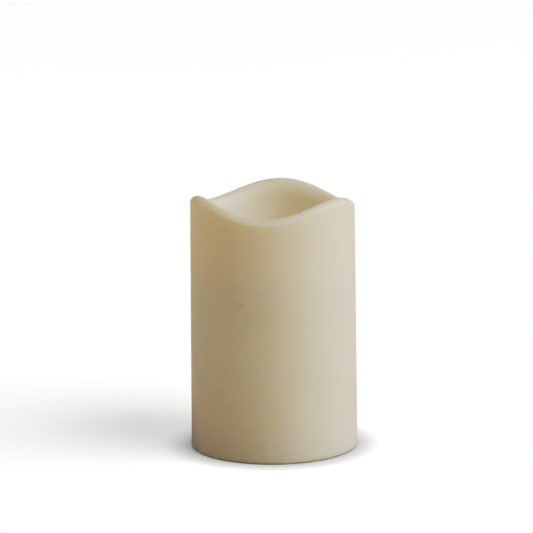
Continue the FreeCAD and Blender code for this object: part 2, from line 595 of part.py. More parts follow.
def contact_disc():
    disc = cylinder(DISC_RADIUS, DISC_Z, DISC_TOP_Z, CAP_X)
    dimple = turned([
        (0, DISC_TOP_Z - BITE, 0), (DIMPLE_RADIUS, DISC_TOP_Z - BITE, 0), (DIMPLE_RADIUS, DISC_TOP_Z, 0),
        (DIMPLE_RADIUS - DIMPLE_HEIGHT, DISC_TOP_Z + DIMPLE_HEIGHT, 0), (0, DISC_TOP_Z + DIMPLE_HEIGHT, 0),
    ], CAP_X)
    dimple.translate(V(0, CELL_Y, 0))
    hole = cylinder(RIVET_RADIUS + DISC_HOLE_PLAY, DISC_Z, DISC_TOP_Z, CAP_X)
    return fused(disc, dimple).cut(hole)


def disc_spring():
    return coil(CAP_X, -CELL_Y, DISC_TOP_Z, UPWARD_CELL_Z - CONTACT_GAP)


# ================================================================ cells and their upper contacts
def cell(y, foot_z, nub_up):
    body, end = CELL_LENGTH - NUB_HEIGHT, CELL_RADIUS - CELL_CRIMP
    solid = turned([
        (0, 0, 0), (end - CELL_STEP, 0, 0), (end, CELL_STEP, 0),
        (CELL_RADIUS, CELL_STEP, CELL_CRIMP_ROUND), (CELL_RADIUS, body, CELL_SHOULDER_ROUND),
        (NUB_RADIUS + NUB_FLARE, body, 0), (NUB_RADIUS, body + NUB_FLARE / 2, 0),
        (NUB_RADIUS, CELL_LENGTH, NUB_ROUND), (0, CELL_LENGTH, 0),
    ])
    if not nub_up:
        solid.rotate(V(0, 0, CELL_LENGTH / 2), V(1, 0, 0), FULL_TURN / 2)
    solid.translate(V(CAP_X, y, foot_z))
    return solid


def battery_nub_down():
    return cell(CELL_Y, DOWNWARD_CELL_Z, nub_up=False)


def battery_nub_up():
    return cell(-CELL_Y, UPWARD_CELL_Z, nub_up=True)


def contact_blank(y):
    """A flat plate under the cover, with a tab that stands up through the cover and the board."""
    low = TUBE_TOP_Z - CONTACT_THICKNESS
    plate = centred_block(CAP_X, y, CONTACT_SIZE, CONTACT_SIZE, low, TUBE_TOP_Z)
    tab_x = CAP_X + (CONTACT_SIZE - CONTACT_THICKNESS) / 2
    tab = centred_block(tab_x, y, CONTACT_THICKNESS, TAB_WIDTH, low, BOARD_TOP_Z + TAB_RISE)
    return fused(plate, tab)


def positive_contact():
    nub_z = UPWARD_CELL_Z + CELL_LENGTH + CONTACT_GAP
    low = TUBE_TOP_Z - CONTACT_THICKNESS
    dimple = turned([
        (0, nub_z, 0), (POSITIVE_DIMPLE_TIP, nub_z, 0), (POSITIVE_DIMPLE, low, 0),
        (POSITIVE_DIMPLE, low + BITE, 0), (0, low + BITE, 0),
    ], CAP_X)
    dimple.translate(V(0, -CELL_Y, 0))
    return fused(contact_blank(-CELL_Y), dimple)


def negative_contact():
    return contact_blank(CELL_Y)


def negative_spring():
    return coil(CAP_X, CELL_Y, TUBE_TOP_Z - CONTACT_THICKNESS, DOWNWARD_CELL_Z + CELL_LENGTH + CONTACT_GAP)


# ================================================================ cover and board
def cover_screw_places():
    return (CAP_X - COVER_SCREW_OFFSET, CAP_X + COVER_SCREW_OFFSET)


def board_posts():
    """(x, y, takes a screw) of the posts under the board. The two without a screw have a pin."""
    low, high = POST_X
    return [(low, POST_Y, True), (high, -POST_Y, True), (low, -POST_Y, False), (high, POST_Y, False)]


def tab_slots(low, high):
    tab_x = CAP_X + (CONTACT_SIZE - CONTACT_THICKNESS) / 2
    size_x, size_y = CONTACT_THICKNESS + TAB_PLAY, TAB_WIDTH + TAB_PLAY
    return [centred_block(tab_x, y, size_x, size_y, low, high) for y in (-CELL_Y, CELL_Y)]


def contact_cover():
    cover = rounded_plate(COVER_LOW_X, COVER_HIGH_X, COVER_Y, TUBE_TOP_Z, COVER_TOP_Z, COVER_CORNER)
    for x, y, takes_screw in board_posts():
        cover = cover.fuse(cylinder(POST_RADIUS, TUBE_TOP_Z, BOARD_Z, x, y))
        if takes_screw:
            low = BOARD_TOP_Z - BOARD_SCREW["length"] - TIP_GAP
            hole = cylinder(BOARD_SCREW["shank_radius"] + SCREW_GAP, low, BOARD_Z, x, y)
            cover = cover.cut(hole)
        else:
            cover = cover.fuse(cylinder(PIN_RADIUS, TUBE_TOP_Z, BOARD_TOP_Z + PIN_RISE, x, y))
    for x in cover_screw_places():
        cover = cover.cut(cylinder(COVER_SCREW["shank_radius"] + SCREW_PLAY, TUBE_TOP_Z, COVER_TOP_Z, x))
    for slot in tab_slots(TUBE_TOP_Z, COVER_TOP_Z):
        cover = cover.cut(slot)
    return cover.removeSplitter()


def cover_screws():
    return Part.makeCompound([
        pan_screw(x, 0, COVER_TOP_Z, points_up=False, **COVER_SCREW) for x in cover_screw_places()
    ])


def circuit_board():
    board = rounded_plate(BOARD_LOW_X, BOARD_HIGH_X, BOARD_Y, BOARD_Z, BOARD_TOP_Z, BOARD_CORNER)
    for x, y, takes_screw in board_posts():
        radius = BOARD_SCREW["shank_radius"] + SCREW_PLAY if takes_screw else PIN_RADIUS + PIN_PLAY
        board = board.cut(cylinder(radius, BOARD_Z, BOARD_TOP_Z, x, y))
    for slot in tab_slots(BOARD_Z, BOARD_TOP_Z):
        board = board.cut(slot)
    return board


def board_screws():
    return Part.makeCompound([
        pan_screw(x, y, BOARD_TOP_Z, points_up=False, **BOARD_SCREW)
        for x, y, takes_screw in board_posts() if takes_screw
    ])


def timer_chip():
    """A small-outline package, with a row of legs along both sides."""
    low, high = BOARD_TOP_Z + CHIP_LIFT, BOARD_TOP_Z + CHIP_TOP
    body = centred_block(CHIP_X, CHIP_Y, CHIP_WIDTH, CHIP_LENGTH, low, high)
    legs = []
    for i in range(CHIP_LEGS):
        y = CHIP_Y + (i - (CHIP_LEGS - 1) / 2) * CHIP_PITCH
        for side in (-1, 1):
            foot_x, knee_x = CHIP_X + side * CHIP_FOOT_X, CHIP_X + side * CHIP_KNEE_X
            foot_top, knee_top = BOARD_TOP_Z + CHIP_FOOT_TOP, BOARD_TOP_Z + CHIP_KNEE_TOP
            legs.append(centred_block(foot_x, y, CHIP_FOOT, CHIP_LEG_WIDTH, BOARD_TOP_Z, foot_top))
            legs.append(centred_block(knee_x, y, CHIP_KNEE, CHIP_LEG_WIDTH, BOARD_TOP_Z, knee_top))
    return fused(body, *legs)


def crystal():
    """A clock crystal's can, standing on the board."""
    return turned([
        (0, 0, 0), (CRYSTAL_FLANGE, 0, 0), (CRYSTAL_FLANGE, CRYSTAL_FLANGE_TOP, 0),
        (CRYSTAL_RADIUS, CRYSTAL_SLOPE_TOP, 0), (CRYSTAL_RADIUS, CRYSTAL_HEIGHT, CRYSTAL_ROUND),
        (0, CRYSTAL_HEIGHT, 0),
    ]).translated(V(CRYSTAL_X, CRYSTAL_Y, BOARD_TOP_Z))


def capacitor():
    """A can on end, with a groove rolled in round its foot."""
    radius = CAPACITOR_RADIUS
    return turned([
        (0, 0, 0), (radius, 0, CAPACITOR_ROUND), (radius, GROOVE_HEIGHT - GROOVE_HALF_WIDTH, 0),
        (radius - GROOVE_DEPTH, GROOVE_HEIGHT, 0), (radius, GROOVE_HEIGHT + GROOVE_HALF_WIDTH, 0),
        (radius, CAPACITOR_HEIGHT, CAPACITOR_ROUND), (0, CAPACITOR_HEIGHT, 0),
    ]).translated(V(CAPACITOR_X, CAPACITOR_Y, BOARD_TOP_Z))


def resistors():
    """Three small resistors lying over the board, each a waisted body on a bent lead at both ends."""
    half, end = RESISTOR_HALF, (RESISTOR_END, RESISTOR_HALF, RESISTOR_ROUND)
    upper = [(RESISTOR_WAIST, half - WAIST_AT, 0), (RESISTOR_BULGE, half - BULGE_AT, 0), end, (0, half, 0)]
    lower = [(r, -z, rounding) for r, z, rounding in reversed(upper)]
    pieces = [turned(lower + upper), cylinder(RESISTOR_LEAD_RADIUS, -RESISTOR_LEAD, RESISTOR_LEAD)]
    for side in (-1, 1):
        z = side * (RESISTOR_LEAD - RESISTOR_LEAD_RADIUS)
        low, high = z - RESISTOR_LEAD_RADIUS, z + RESISTOR_LEAD_RADIUS
        thick = 2 * RESISTOR_LEAD_RADIUS
        pieces.append(centred_block(-RESISTOR_STANDOFF / 2, 0, RESISTOR_STANDOFF, thick, low, high))
    resistor = fused(*pieces)
    resistor.rotate(V(0, 0, 0), V(0, 1, 0), FULL_TURN / 4)
    z = BOARD_TOP_Z - resistor.BoundBox.ZMin
    return Part.makeCompound([resistor.translated(V(RESISTOR_X, y, z)) for y in RESISTOR_Y])


# ================================================================ switch
def switch_case():
    """A folded steel can, open at the top, on a plate with an ear at each end."""
    plate_z = SEAT_Z + SWITCH_PLATE
    low_x, high_x = SWITCH_X - SWITCH_WIDTH / 2, SWITCH_X + SWITCH_WIDTH / 2
    plate = rounded_plate(low_x, high_x, SWITCH_PLATE_Y, SEAT_Z, plate_z, SWITCH_CORNER)
    can = centred_block(SWITCH_X, 0, SWITCH_WIDTH, SWITCH_LENGTH, SEAT_Z, SWITCH_CASE_TOP_Z)
    inside = 2 * SWITCH_WALL
    hollow = centred_block(
        SWITCH_X, 0, SWITCH_WIDTH - inside, SWITCH_LENGTH - inside, plate_z, SWITCH_CASE_TOP_Z)
    slot_length = LEVER_LENGTH + 2 * (SWITCH_TRAVEL + SLOT_GAP)
    slot = centred_block(SWITCH_X, 0, LEVER_WIDTH + 2 * SLOT_GAP, slot_length, SEAT_Z, plate_z)
    case = fused(plate, can).cut(hollow).cut(slot)
    for y in (-SWITCH_EAR_Y, SWITCH_EAR_Y):
        case = case.cut(cylinder(SWITCH_SCREW["shank_radius"] + SCREW_PLAY, SEAT_Z, plate_z, SWITCH_X, y))
    return case


def switch_screws():
    seat = SEAT_Z + SWITCH_PLATE
    return Part.makeCompound([
        pan_screw(SWITCH_X, y, seat, points_up=False, **SWITCH_SCREW) for y in (-SWITCH_EAR_Y, SWITCH_EAR_Y)
    ])


def switch_terminals():
    low = SWITCH_BASE_Z - TERMINAL_TAIL
    return Part.makeCompound([
        centred_block(SWITCH_X, y, TERMINAL_THICKNESS, TERMINAL_WIDTH, low, TERMINAL_TOP_Z)
        for y in TERMINAL_Y
    ])


def switch_base():
    inside = 2 * SWITCH_WALL
    width, length = SWITCH_WIDTH - inside, SWITCH_LENGTH - inside
    board = centred_block(SWITCH_X, 0, width, length, SWITCH_BASE_Z, SWITCH_BASE_TOP_Z)
    return board.cut(switch_terminals())


def switch_slider():
    body = centred_block(SWITCH_X, 0, SLIDER_WIDTH, SLIDER_LENGTH, SLIDER_Z, SLIDER_TOP_Z)
    lever = centred_block(SWITCH_X, 0, LEVER_WIDTH, LEVER_LENGTH, LEVER_FOOT_Z, SLIDER_Z)
    foot_edges = [e for e in lever.Edges if e.BoundBox.ZMax < LEVER_FOOT_Z + TINY]
    return fused(body, lever.makeFillet(LEVER_ROUND, foot_edges))


def switch_sleeves():
    low, high = TERMINAL_TOP_Z - SLEEVE_OVER_METAL, TERMINAL_TOP_Z + SLEEVE_OVER_WIRE
    return Part.makeCompound([
        ring(SLEEVE_BORE, SLEEVE_RADIUS, low, high, SWITCH_X, y) for y in WIRED_TERMINALS
    ])


def switch_wire(terminal_y, board_y, bow):
    """From the underside of the board down to a terminal, bowed out towards the bay's wall."""
    def between(share):
        return board_y * (1 - share) + terminal_y * share

    return wire_along([
        V(SWITCH_WIRE_X, board_y, BOARD_Z),
        V(SWITCH_WIRE_X, board_y, 60.0),
        V(SWITCH_WIRE_X + 4.0 + bow, between(0.05), 47.0),
        V(SWITCH_WIRE_X + 9.5 + bow, between(0.15), 35.0),
        V(SWITCH_X + 0.4 + bow, between(0.7), 25.0),
        V(SWITCH_X, terminal_y, 18.2),
        V(SWITCH_X, terminal_y, TERMINAL_TOP_Z + CONTACT_GAP),
    ])


def switch_wire_black():
    return switch_wire(WIRED_TERMINALS[0], -9.0, 0.6)


def switch_wire_yellow():
    return switch_wire(WIRED_TERMINALS[1], 0.5, -0.9)


def switch_wire_red():
    return switch_wire(WIRED_TERMINALS[2], 9.0, 0.3)


def led_wire_red():
    return led_wire(1)


def led_wire_black():
    return led_wire(-1)


# ================================================================ export
SUB_PARTS = [
    candle_shell, flame_tip, led_lens, led_leads, led_holder, led_holder_screws, led_sleeves,
    led_wire_red, led_wire_black, base_housing, housing_screws, battery_nub_down, battery_nub_up,
    positive_contact, negative_contact, negative_spring, contact_cover, cover_screws, circuit_board,
    board_screws, timer_chip, crystal, capacitor, resistors, switch_case, switch_base,
    switch_terminals, switch_screws, switch_sleeves, switch_slider, switch_wire_black,
    switch_wire_yellow, switch_wire_red, contact_disc, disc_spring, battery_cap, cap_seal, cap_rivet,
]

os.makedirs("parts", exist_ok=True)
for make in SUB_PARTS:
    shape = make()
    name = make.__name__
    if not shape.isValid() or shape.Volume <= 0:
        raise RuntimeError(f"{name} is not a valid solid")
    print(f"{name}: {len(shape.Solids)} solid(s), {shape.Volume:.1f} mm3")
    shape.exportStep(f"parts/{name}.step")
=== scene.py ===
import json
import math

import bpy
from mathutils import Matrix, Vector


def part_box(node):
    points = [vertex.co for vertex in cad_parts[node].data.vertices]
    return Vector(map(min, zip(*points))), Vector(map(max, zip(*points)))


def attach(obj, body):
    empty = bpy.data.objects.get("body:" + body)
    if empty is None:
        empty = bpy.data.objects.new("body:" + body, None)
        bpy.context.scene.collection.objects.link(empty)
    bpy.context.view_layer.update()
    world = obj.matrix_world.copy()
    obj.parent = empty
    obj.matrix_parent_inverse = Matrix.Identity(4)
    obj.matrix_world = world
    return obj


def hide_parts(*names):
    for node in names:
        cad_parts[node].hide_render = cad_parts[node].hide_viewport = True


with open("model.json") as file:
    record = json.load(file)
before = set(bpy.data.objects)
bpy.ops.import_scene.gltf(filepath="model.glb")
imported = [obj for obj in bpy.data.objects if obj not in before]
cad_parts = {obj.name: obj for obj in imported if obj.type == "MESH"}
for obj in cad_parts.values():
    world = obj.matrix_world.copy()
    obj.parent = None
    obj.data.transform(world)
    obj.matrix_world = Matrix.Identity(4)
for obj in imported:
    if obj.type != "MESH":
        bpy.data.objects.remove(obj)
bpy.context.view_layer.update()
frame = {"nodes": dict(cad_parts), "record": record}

# A battery-lit pillar candle, unlit. Sizes are in millimetres, and become metres where a mesh, light,
# camera or texture is made. Angles are in degrees unless a docstring says otherwise. A shape is a
# pair of lists, points and faces, until a piece is made of it.

MM = 0.001


def low_corner(node):
    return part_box(node)[0] / MM


def high_corner(node):
    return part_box(node)[1] / MM


def middle(node):
    return (low_corner(node) + high_corner(node)) / 2


# ---------------------------------------------------------------- the shell's shape
BASE_RADIUS = 41.1
HEIGHT = 127.0                        # to the rim's crests
DRAFT = 0.0077                        # radius lost per unit of height
WAVE_CRESTS, WAVE_AMPLITUDE, WAVE_ANGLE = 3, 3.7, 90
FOOT_ROUND = 1.0
RIM_THICKNESS = 6.8
RIM_OUTER_ROUND = 3.1
RIM_INNER_ROUND = 6.6                 # how far the rim's round reaches down into the well
WELL_FLOOR_Z, CEILING_Z = 90.0, 86.5
WELL_FLOOR_RADIUS, WELL_FLOOR_ROUND = 32.4, 4.0
FLAME_HOLE_RADIUS, FLAME_HOLE_ROUND = 6.4, 0.5
EDGE_GUARD = 0.1                      # from a small round to points that keep the wall beside it flat
BAY_TOP_RADIUS, BAY_BOTTOM_RADIUS, BAY_ROUND = 34.6, 36.0, 2.0
SEAT_Z = low_corner("switch_case").z  # the recess's floor, level with the top of the housing's plate
RECESS_RADIUS, RECESS_ROUND = 37.0, 0.4
BOSS_RADIUS, BOSS_TOP_Z = 3.6, 24.0
BOSS_PLACES = [(x, y) for x in (-15.5, 15.5) for y in (-29.1, 29.1)]
PAD_PLACES = [(-14.0, 0.0), (14.0, 0.0)]
PAD_SCREW_REACH = 3.6
PAD_BOTTOM_Z = high_corner("led_holder_screws").z - PAD_SCREW_REACH
PAD_TOP_Z = 88.0                      # inside the well's floor

# ---------------------------------------------------------------- the flame's shape
FLAME_FOOT_Z = low_corner("flame_tip").z
FLAME_TIP_Z = high_corner("flame_tip").z
FLAME_FLANGE_RADIUS, FLAME_NECK_RADIUS = 9.0, 6.1
FLAME_FLANGE_CHAMFER = 0.2
FLAME_LEAN = 1.0
FLAME_LOBES, FLAME_LOBE_DEPTH, FLAME_TWIST = 3, 0.08, 80
FLAME_TIP_ROUND = (1.0, 0.9)          # across and up, as are the points below
FLAME_INSIDE_TOP_Z = 105.4
FLAME_OUTSIDE = [(6.1, 90.0), (6.6, 93.0), (6.2, 97.0), (4.9, 101.0), (3.0, 105.0), (1.2, 108.0)]
FLAME_INSIDE = [(1.4, 104.6), (3.2, 101.0), (4.5, 97.0), (5.0, 92.0), (4.9, FLAME_FOOT_Z)]

# ---------------------------------------------------------------- the underside
CAP_X = middle("battery_cap").x
CAP_UNDER_Z = low_corner("battery_cap").z
PLATE_UNDER_Z = 3.0
SWITCH_X = middle("switch_slider").x
MARK_HEIGHT, MARK_BITE = 0.45, 0.1    # how far a mark stands out of the plastic, and how far it is sunk
ARROW_RADIUS, ARROW_SPAN, ARROW_WIDTH = 18.2, 52, 1.5
ARROW_HEAD_SPAN, ARROW_HEAD_WIDTH = 11, 4.0
INDEX_SIZE, CAP_INDEX_RADIUS, PLATE_INDEX_RADIUS = 1.3, 20.4, 25.5
CAP_LETS_GO = -163                    # how far the cap turns to come off its thread
SWITCH_STEP = 2.0
SIGN_X = SWITCH_X + 4.6               # of the signs for on, off and timer
SIGN_RADIUS, RING_WIDTH = 0.8, 0.3
BAR_WIDTH, HAND_WIDTH = 0.35, 0.22
LONG_HAND, SHORT_HAND = 0.6, 0.45
GRIP_BAR = 5.0
RIB_COUNT, RIB_PITCH, RIB_RADIUS, RIB_FOOT_RADIUS = 9, 2.0, 0.5, 0.3
RIB_FOOT, RIB_SHOULDER, RIB_TOP = 0.15, 0.4, 2.3    # above the cap's underside

# ---------------------------------------------------------------- the circuit board
BOARD_Z, BOARD_TOP_Z = low_corner("circuit_board").z, high_corner("circuit_board").z
COPPER = 0.05
TRACK_WIDTH = 0.9
CHIP = middle("timer_chip")
CHIP_LEG_PITCH, CHIP_LEG_REACH = 1.27, 2.7
CAPACITOR, CRYSTAL, RESISTORS = middle("capacitor"), middle("crystal"), middle("resistors")
CRYSTAL_LEAD, CAPACITOR_LEAD = 0.6, 1.0    # from the part's middle to each of its two leads
RESISTOR_REACH = 4.35
RESISTOR_Y = [RESISTORS.y + offset for offset in (-2.8, 0.0, 2.8)]
CONTACTS = ("positive_contact", "negative_contact")
CONTACT_TABS = [(high_corner(node).x - 0.2, middle(node).y) for node in CONTACTS]
LAMP_PADS = [(-14.4, 4.4), (-11.6, 4.4)]
SWITCH_PADS = [(12.0, -9.0), (12.0, 0.5), (12.0, 9.0)]
SOLDER_FOOT, SOLDER_NECK, SOLDER_HEIGHT = 1.1, 0.5, 0.9

# ---------------------------------------------------------------- the contact cover
COVER_TOP_Z = high_corner("cover_screws").z - 1.4
COVER_SIGN_X = CAP_X - 8.5
COVER_SIGN_ARM, COVER_SIGN_STROKE, COVER_SIGN_HEIGHT = 1.6, 0.7, 0.25

# ---------------------------------------------------------------- view and light
VIEW_AZIMUTH, VIEW_ELEVATION = 7.33, 12.66
VIEW_DISTANCE, VIEW_HEIGHT = 1510.8, 61.65
VIEW_YAW, VIEW_PITCH, VIEW_ROLL = 0.120, 1.033, 0.509
FOCAL_LENGTH, SENSOR_WIDTH = 207.36, 36.0
CLIP_START, CLIP_END = 50, 30000

KEY_STRENGTH, KEY_WIDTH = 2.4, 40
KEY_AZIMUTH, KEY_ELEVATION = -30, 48  # azimuth is anticlockwise from the camera's right
KEY_COLOUR = (0.97, 1.0, 1.03)
SOFTBOX_AIM_Z, SOFTBOX_DISTANCE, SOFTBOX_SIZE = 60, 3000, 2000
SOFTBOXES = {"near": (5, 15, 27), "far": (172, 20, 15)}    # azimuth, elevation and watts
HORIZON_GLOW, ZENITH_GLOW, SKY_SHOWN = 0.50, 0.09, 1.8     # the last is what the camera sees

FLOOR_HALF_SIZE = 6000
FLOOR_GLOW = 0.72                     # what the camera sees beyond the light that falls on the floor
FLOOR_BOUNCE = (0.82, 0.61, 0.42, 1.0)    # the card's colour to light that bounces off it
# Painted shade: near the foot the card bounces a dark colour, which shades the candle's foot.
FLOOR_BOUNCE_PAINTED_SHADE = (0.15, 0.145, 0.14, 1.0)
# Painted contact shadow: how far it reaches from the foot and how dark it is there, to the camera.
PAINTED_CONTACT_SHADOW_REACH, PAINTED_CONTACT_SHADOW_LEAST = 15.0, 0.3
# How far the card's painted shade for bounced light reaches from the foot.
PAINTED_SHADE_BOUNCE_REACH = 60.0

FILM_WHITE = 1.6
FILM_RESPONSE = ((0.15, 0.045), (0.28, 0.127), (0.5, 0.345), (0.72, 0.52), (1.0, 0.658), (1.3, 0.81))


# ================================================================ shapes
def arc(centre, radii, start, end, steps):
    """Points along an ellipse, from one angle to another."""
    points = []
    for i in range(steps + 1):
        a = math.radians(start + (end - start) * i / steps)
        points.append((centre[0] + radii[0] * math.cos(a), centre[1] + radii[1] * math.sin(a)))
    return points


def circle_arc(centre, radius, start, end, steps):
    return arc(centre, (radius, radius), start, end, steps)


def at_angle(radius, angle, centre=(0, 0)):
    a = math.radians(angle)
    return (centre[0] + radius * math.cos(a), centre[1] + radius * math.sin(a))


def line(start, end, steps):
    """Points from start up to but not including end."""
    return [
        tuple(a + (b - a) * i / steps for a, b in zip(start, end))
        for i in range(steps)
    ]


def smoothed(points, steps):
    """A Catmull-Rom curve through the points, with that many steps between each two."""

    def blend(a, b, c, d, t):
        square, cube = 2 * a - 5 * b + 4 * c - d, 3 * b - a - 3 * c + d
        return b + 0.5 * ((c - a) * t + square * t**2 + cube * t**3)

    curve = []
    ends = [points[0], *points, points[-1]]
    for four in zip(ends, ends[1:], ends[2:], ends[3:]):
        curve += [tuple(blend(*values, i / steps) for values in zip(*four)) for i in range(steps)]
    return curve + [points[-1]]


def ring_shape(outline_at, columns, centre=(0, 0)):
    """A closed ring. outline_at gives its closed outline in (radius, height) at an angle in radians."""
    points, faces = [], []
    for i in range(columns):
        angle = 2 * math.pi * i / columns
        outline = outline_at(angle)
        points += [
            (centre[0] + r * math.cos(angle), centre[1] + r * math.sin(angle), z) for r, z in outline
        ]
    rows = len(outline)
    for i in range(columns):
        here, there = i * rows, (i + 1) % columns * rows
        for j in range(rows):
            k = (j + 1) % rows
            faces.append((here + j, there + j, there + k, here + k))
    return points, faces


def turned_shape(outline, columns, centre=(0, 0)):
    """A solid of revolution. The outline runs in (radius, height) from the axis back to the axis."""
    points, faces = [], []
    (_, first_z), (_, last_z) = outline[0], outline[-1]
    for i in range(columns):
        angle = 2 * math.pi * i / columns
        points += [
            (centre[0] + r * math.cos(angle), centre[1] + r * math.sin(angle), z)
            for r, z in outline[1:-1]
        ]
    rows = len(outline) - 2
    first = len(points)
    points += [(*centre, first_z), (*centre, last_z)]
    for i in range(columns):
        here, there = i * rows, (i + 1) % columns * rows
        faces.append((first, there, here))
        faces.append((first + 1, here + rows - 1, there + rows - 1))
        for j in range(rows - 1):
            faces.append((here + j, there + j, there + j + 1, here + j + 1))
    return points, faces


def slab_shape(outline, low, high):
    """A flat slab. The outline runs anticlockwise in (x, y), seen from above."""
    count = len(outline)
    points = [(x, y, z) for z in (low, high) for x, y in outline]
    faces = [tuple(reversed(range(count))), tuple(range(count, 2 * count))]
    for i in range(count):
        j = (i + 1) % count
        faces.append((i, j, count + j, count + i))
    return points, faces


def ribbon_outline(route, width):
    """The outline of a flat ribbon along a route in (x, y), with square ends."""
    left, right = [], []
    for i, point in enumerate(route):
        before, after = route[max(i - 1, 0)], route[min(i + 1, len(route) - 1)]
        along = (Vector(after) - Vector(before)).normalized()
        side = Vector((-along.y, along.x)) * width / 2
        left.append(tuple(Vector(point) + side))
        right.append(tuple(Vector(point) - side))
    return right + left[::-1]


def merged(shapes):
    points, faces = [], []
    for shape_points, shape_faces in shapes:
        offset = len(points)
        points += shape_points
        faces += [tuple(i + offset for i in face) for face in shape_faces]
    return points, faces


# ================================================================ objects
def new_object(name, data):
    made = bpy.data.objects.new(name, data)
    bpy.context.scene.collection.objects.link(made)
    return made


SHARP_ANGLE = 35


def shape_object(name, shape):
    """An object from a shape, smooth but for its sharp edges."""
    points, faces = shape
    mesh = bpy.data.meshes.new(name)
    mesh.from_pydata([tuple(c * MM for c in p) for p in points], [], faces)
    mesh.validate()
    mesh.polygons.foreach_set("use_smooth", [True] * len(mesh.polygons))
    mesh.set_sharp_from_angle(angle=math.radians(SHARP_ANGLE))
    return new_object(name, mesh)


def unite(target, others):
    """Joins the others to the target, and smooths it but for its sharp edges."""
    for other in others:
        modifier = target.modifiers.new("union", "BOOLEAN")
        modifier.operation = "UNION"
        modifier.solver = "EXACT"
        modifier.object = other
    graph = bpy.context.evaluated_depsgraph_get()
    mesh = bpy.data.meshes.new_from_object(target.evaluated_get(graph))
    mesh.set_sharp_from_angle(angle=math.radians(SHARP_ANGLE))
    target.modifiers.clear()
    target.data = mesh
    for other in others:
        bpy.data.objects.remove(other)


def ease(target, width):
    """Rounds the target's sharp edges."""
    modifier = target.modifiers.new("ease", "BEVEL")
    modifier.width = width * MM
    modifier.segments = 2
    modifier.limit_method = "ANGLE"


def finish_piece(made, body, material):
    """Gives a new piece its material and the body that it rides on."""
    made.data.materials.clear()
    made.data.materials.append(material)
    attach(made, body)


# ================================================================ materials
def rgba(r, g, b):
    return (r, g, b, 1.0)


def scaled(colour, factor):
    return rgba(*(min(1.0, c * factor) for c in colour[:3]))


WHITE = rgba(1, 1, 1)


class NodeTree:
    """A material's or a world's nodes, with short names for those that are used again and again."""

    def __init__(self, owner):
        owner.use_nodes = True
        self.tree = owner.node_tree

    def add(self, kind, inputs=None, **settings):
        node = self.tree.nodes.new(kind)
        for key, value in settings.items():
            setattr(node, key, value)
        for key, value in (inputs or {}).items():
            self.put(node.inputs[key], value)
        return node

    def put(self, socket, value):
        if isinstance(value, bpy.types.NodeSocket):
            self.tree.links.new(value, socket)
        else:
            socket.default_value = value

    def math(self, operation, a, b=0.0, c=0.0):
        return self.add("ShaderNodeMath", {0: a, 1: b, 2: c}, operation=operation).outputs[0]

    def remap(self, value, low, high, to_low, to_high):
        inputs = {"Value": value, "From Min": low, "From Max": high, "To Min": to_low, "To Max": to_high}
        return self.add("ShaderNodeMapRange", inputs).outputs[0]

    def spread(self, noise, low, high):
        """Noise, most of which is between 0.3 and 0.7, spread from low to high."""
        return self.remap(noise, 0.3, 0.7, low, high)

    def mix(self, factor, a, b, blend="MIX"):
        node = self.add("ShaderNodeMix", data_type="RGBA", blend_type=blend)
        for key, value in (("Factor", factor), ("A", a), ("B", b)):
            sockets = [s for s in node.inputs if s.name == key and s.enabled]
            self.put(sockets[0], value)
        return [s for s in node.outputs if s.enabled][0]

    def tinted(self, colour, tint):
        return self.mix(1.0, colour, tint, "MULTIPLY")

    def seen(self):
        """1 for what the camera sees, and 0 for light that bounces."""
        return self.add("ShaderNodeLightPath").outputs["Is Camera Ray"]


class Graph(NodeTree):
    """A material under construction."""

    def __init__(self, name):
        self.material = bpy.data.materials.new(name)
        super().__init__(self.material)
        self.shader = self.tree.nodes["Principled BSDF"]
        self.place = self.add("ShaderNodeTexCoord").outputs["Object"]

    def set(self, **values):
        """Shader sockets by name, with underscores for spaces."""
        for key, value in values.items():
            self.put(self.shader.inputs[key.replace("_", " ")], value)

    def noise(self, size, detail=3.0, roughness=0.5, stretch=(1, 1, 1)):
        """Noise whose features are about size across."""
        place = self.add("ShaderNodeMapping", {"Vector": self.place, "Scale": stretch}).outputs[0]
        inputs = {"Vector": place, "Scale": 1 / (size * MM), "Detail": detail, "Roughness": roughness}
        return self.add("ShaderNodeTexNoise", inputs).outputs["Fac"]

    def axis(self, name):
        """A coordinate, in millimetres."""
        metres = self.add("ShaderNodeSeparateXYZ", {0: self.place}).outputs[name]
        return self.math("DIVIDE", metres, MM)

    def distance(self, place, point):
        inputs = {0: place, 1: tuple(c * MM for c in point)}
        metres = self.add("ShaderNodeVectorMath", inputs, operation="DISTANCE").outputs["Value"]
        return self.math("DIVIDE", metres, MM)

    def from_axis(self, x, y):
        """How far it is from the upright line through (x, y)."""
        flat = {0: self.place, 1: (1, 1, 0)}
        place = self.add("ShaderNodeVectorMath", flat, operation="MULTIPLY").outputs[0]
        return self.distance(place, (x, y, 0))

    def from_point(self, point):
        return self.distance(self.place, point)

    def facing_up(self):
        """1 on faces that look up, 0 on upright ones and -1 on those that look down."""
        normal = self.add("ShaderNodeNewGeometry").outputs["Normal"]
        return self.add("ShaderNodeSeparateXYZ", {0: normal}).outputs["Z"]

    def band(self, value, centre, half_width):
        """1 where the value is within half_width of the centre, and 0 elsewhere."""
        return self.math("COMPARE", value, centre, half_width)

    def bump(self, *layers):
        """Each layer is (height, depth)."""
        normal = None
        for height, depth in layers:
            inputs = {"Height": height, "Distance": depth * MM, "Strength": 1.0}
            if normal is not None:
                inputs["Normal"] = normal
            normal = self.add("ShaderNodeBump", inputs).outputs[0]
        self.set(Normal=normal)

    def subsurface(self, depth, reach):
        self.shader.subsurface_method = "RANDOM_WALK"
        self.set(Subsurface_Weight=1.0, Subsurface_Scale=depth * MM, Subsurface_Anisotropy=0.0)
        self.shader.inputs["Subsurface Radius"].default_value = reach


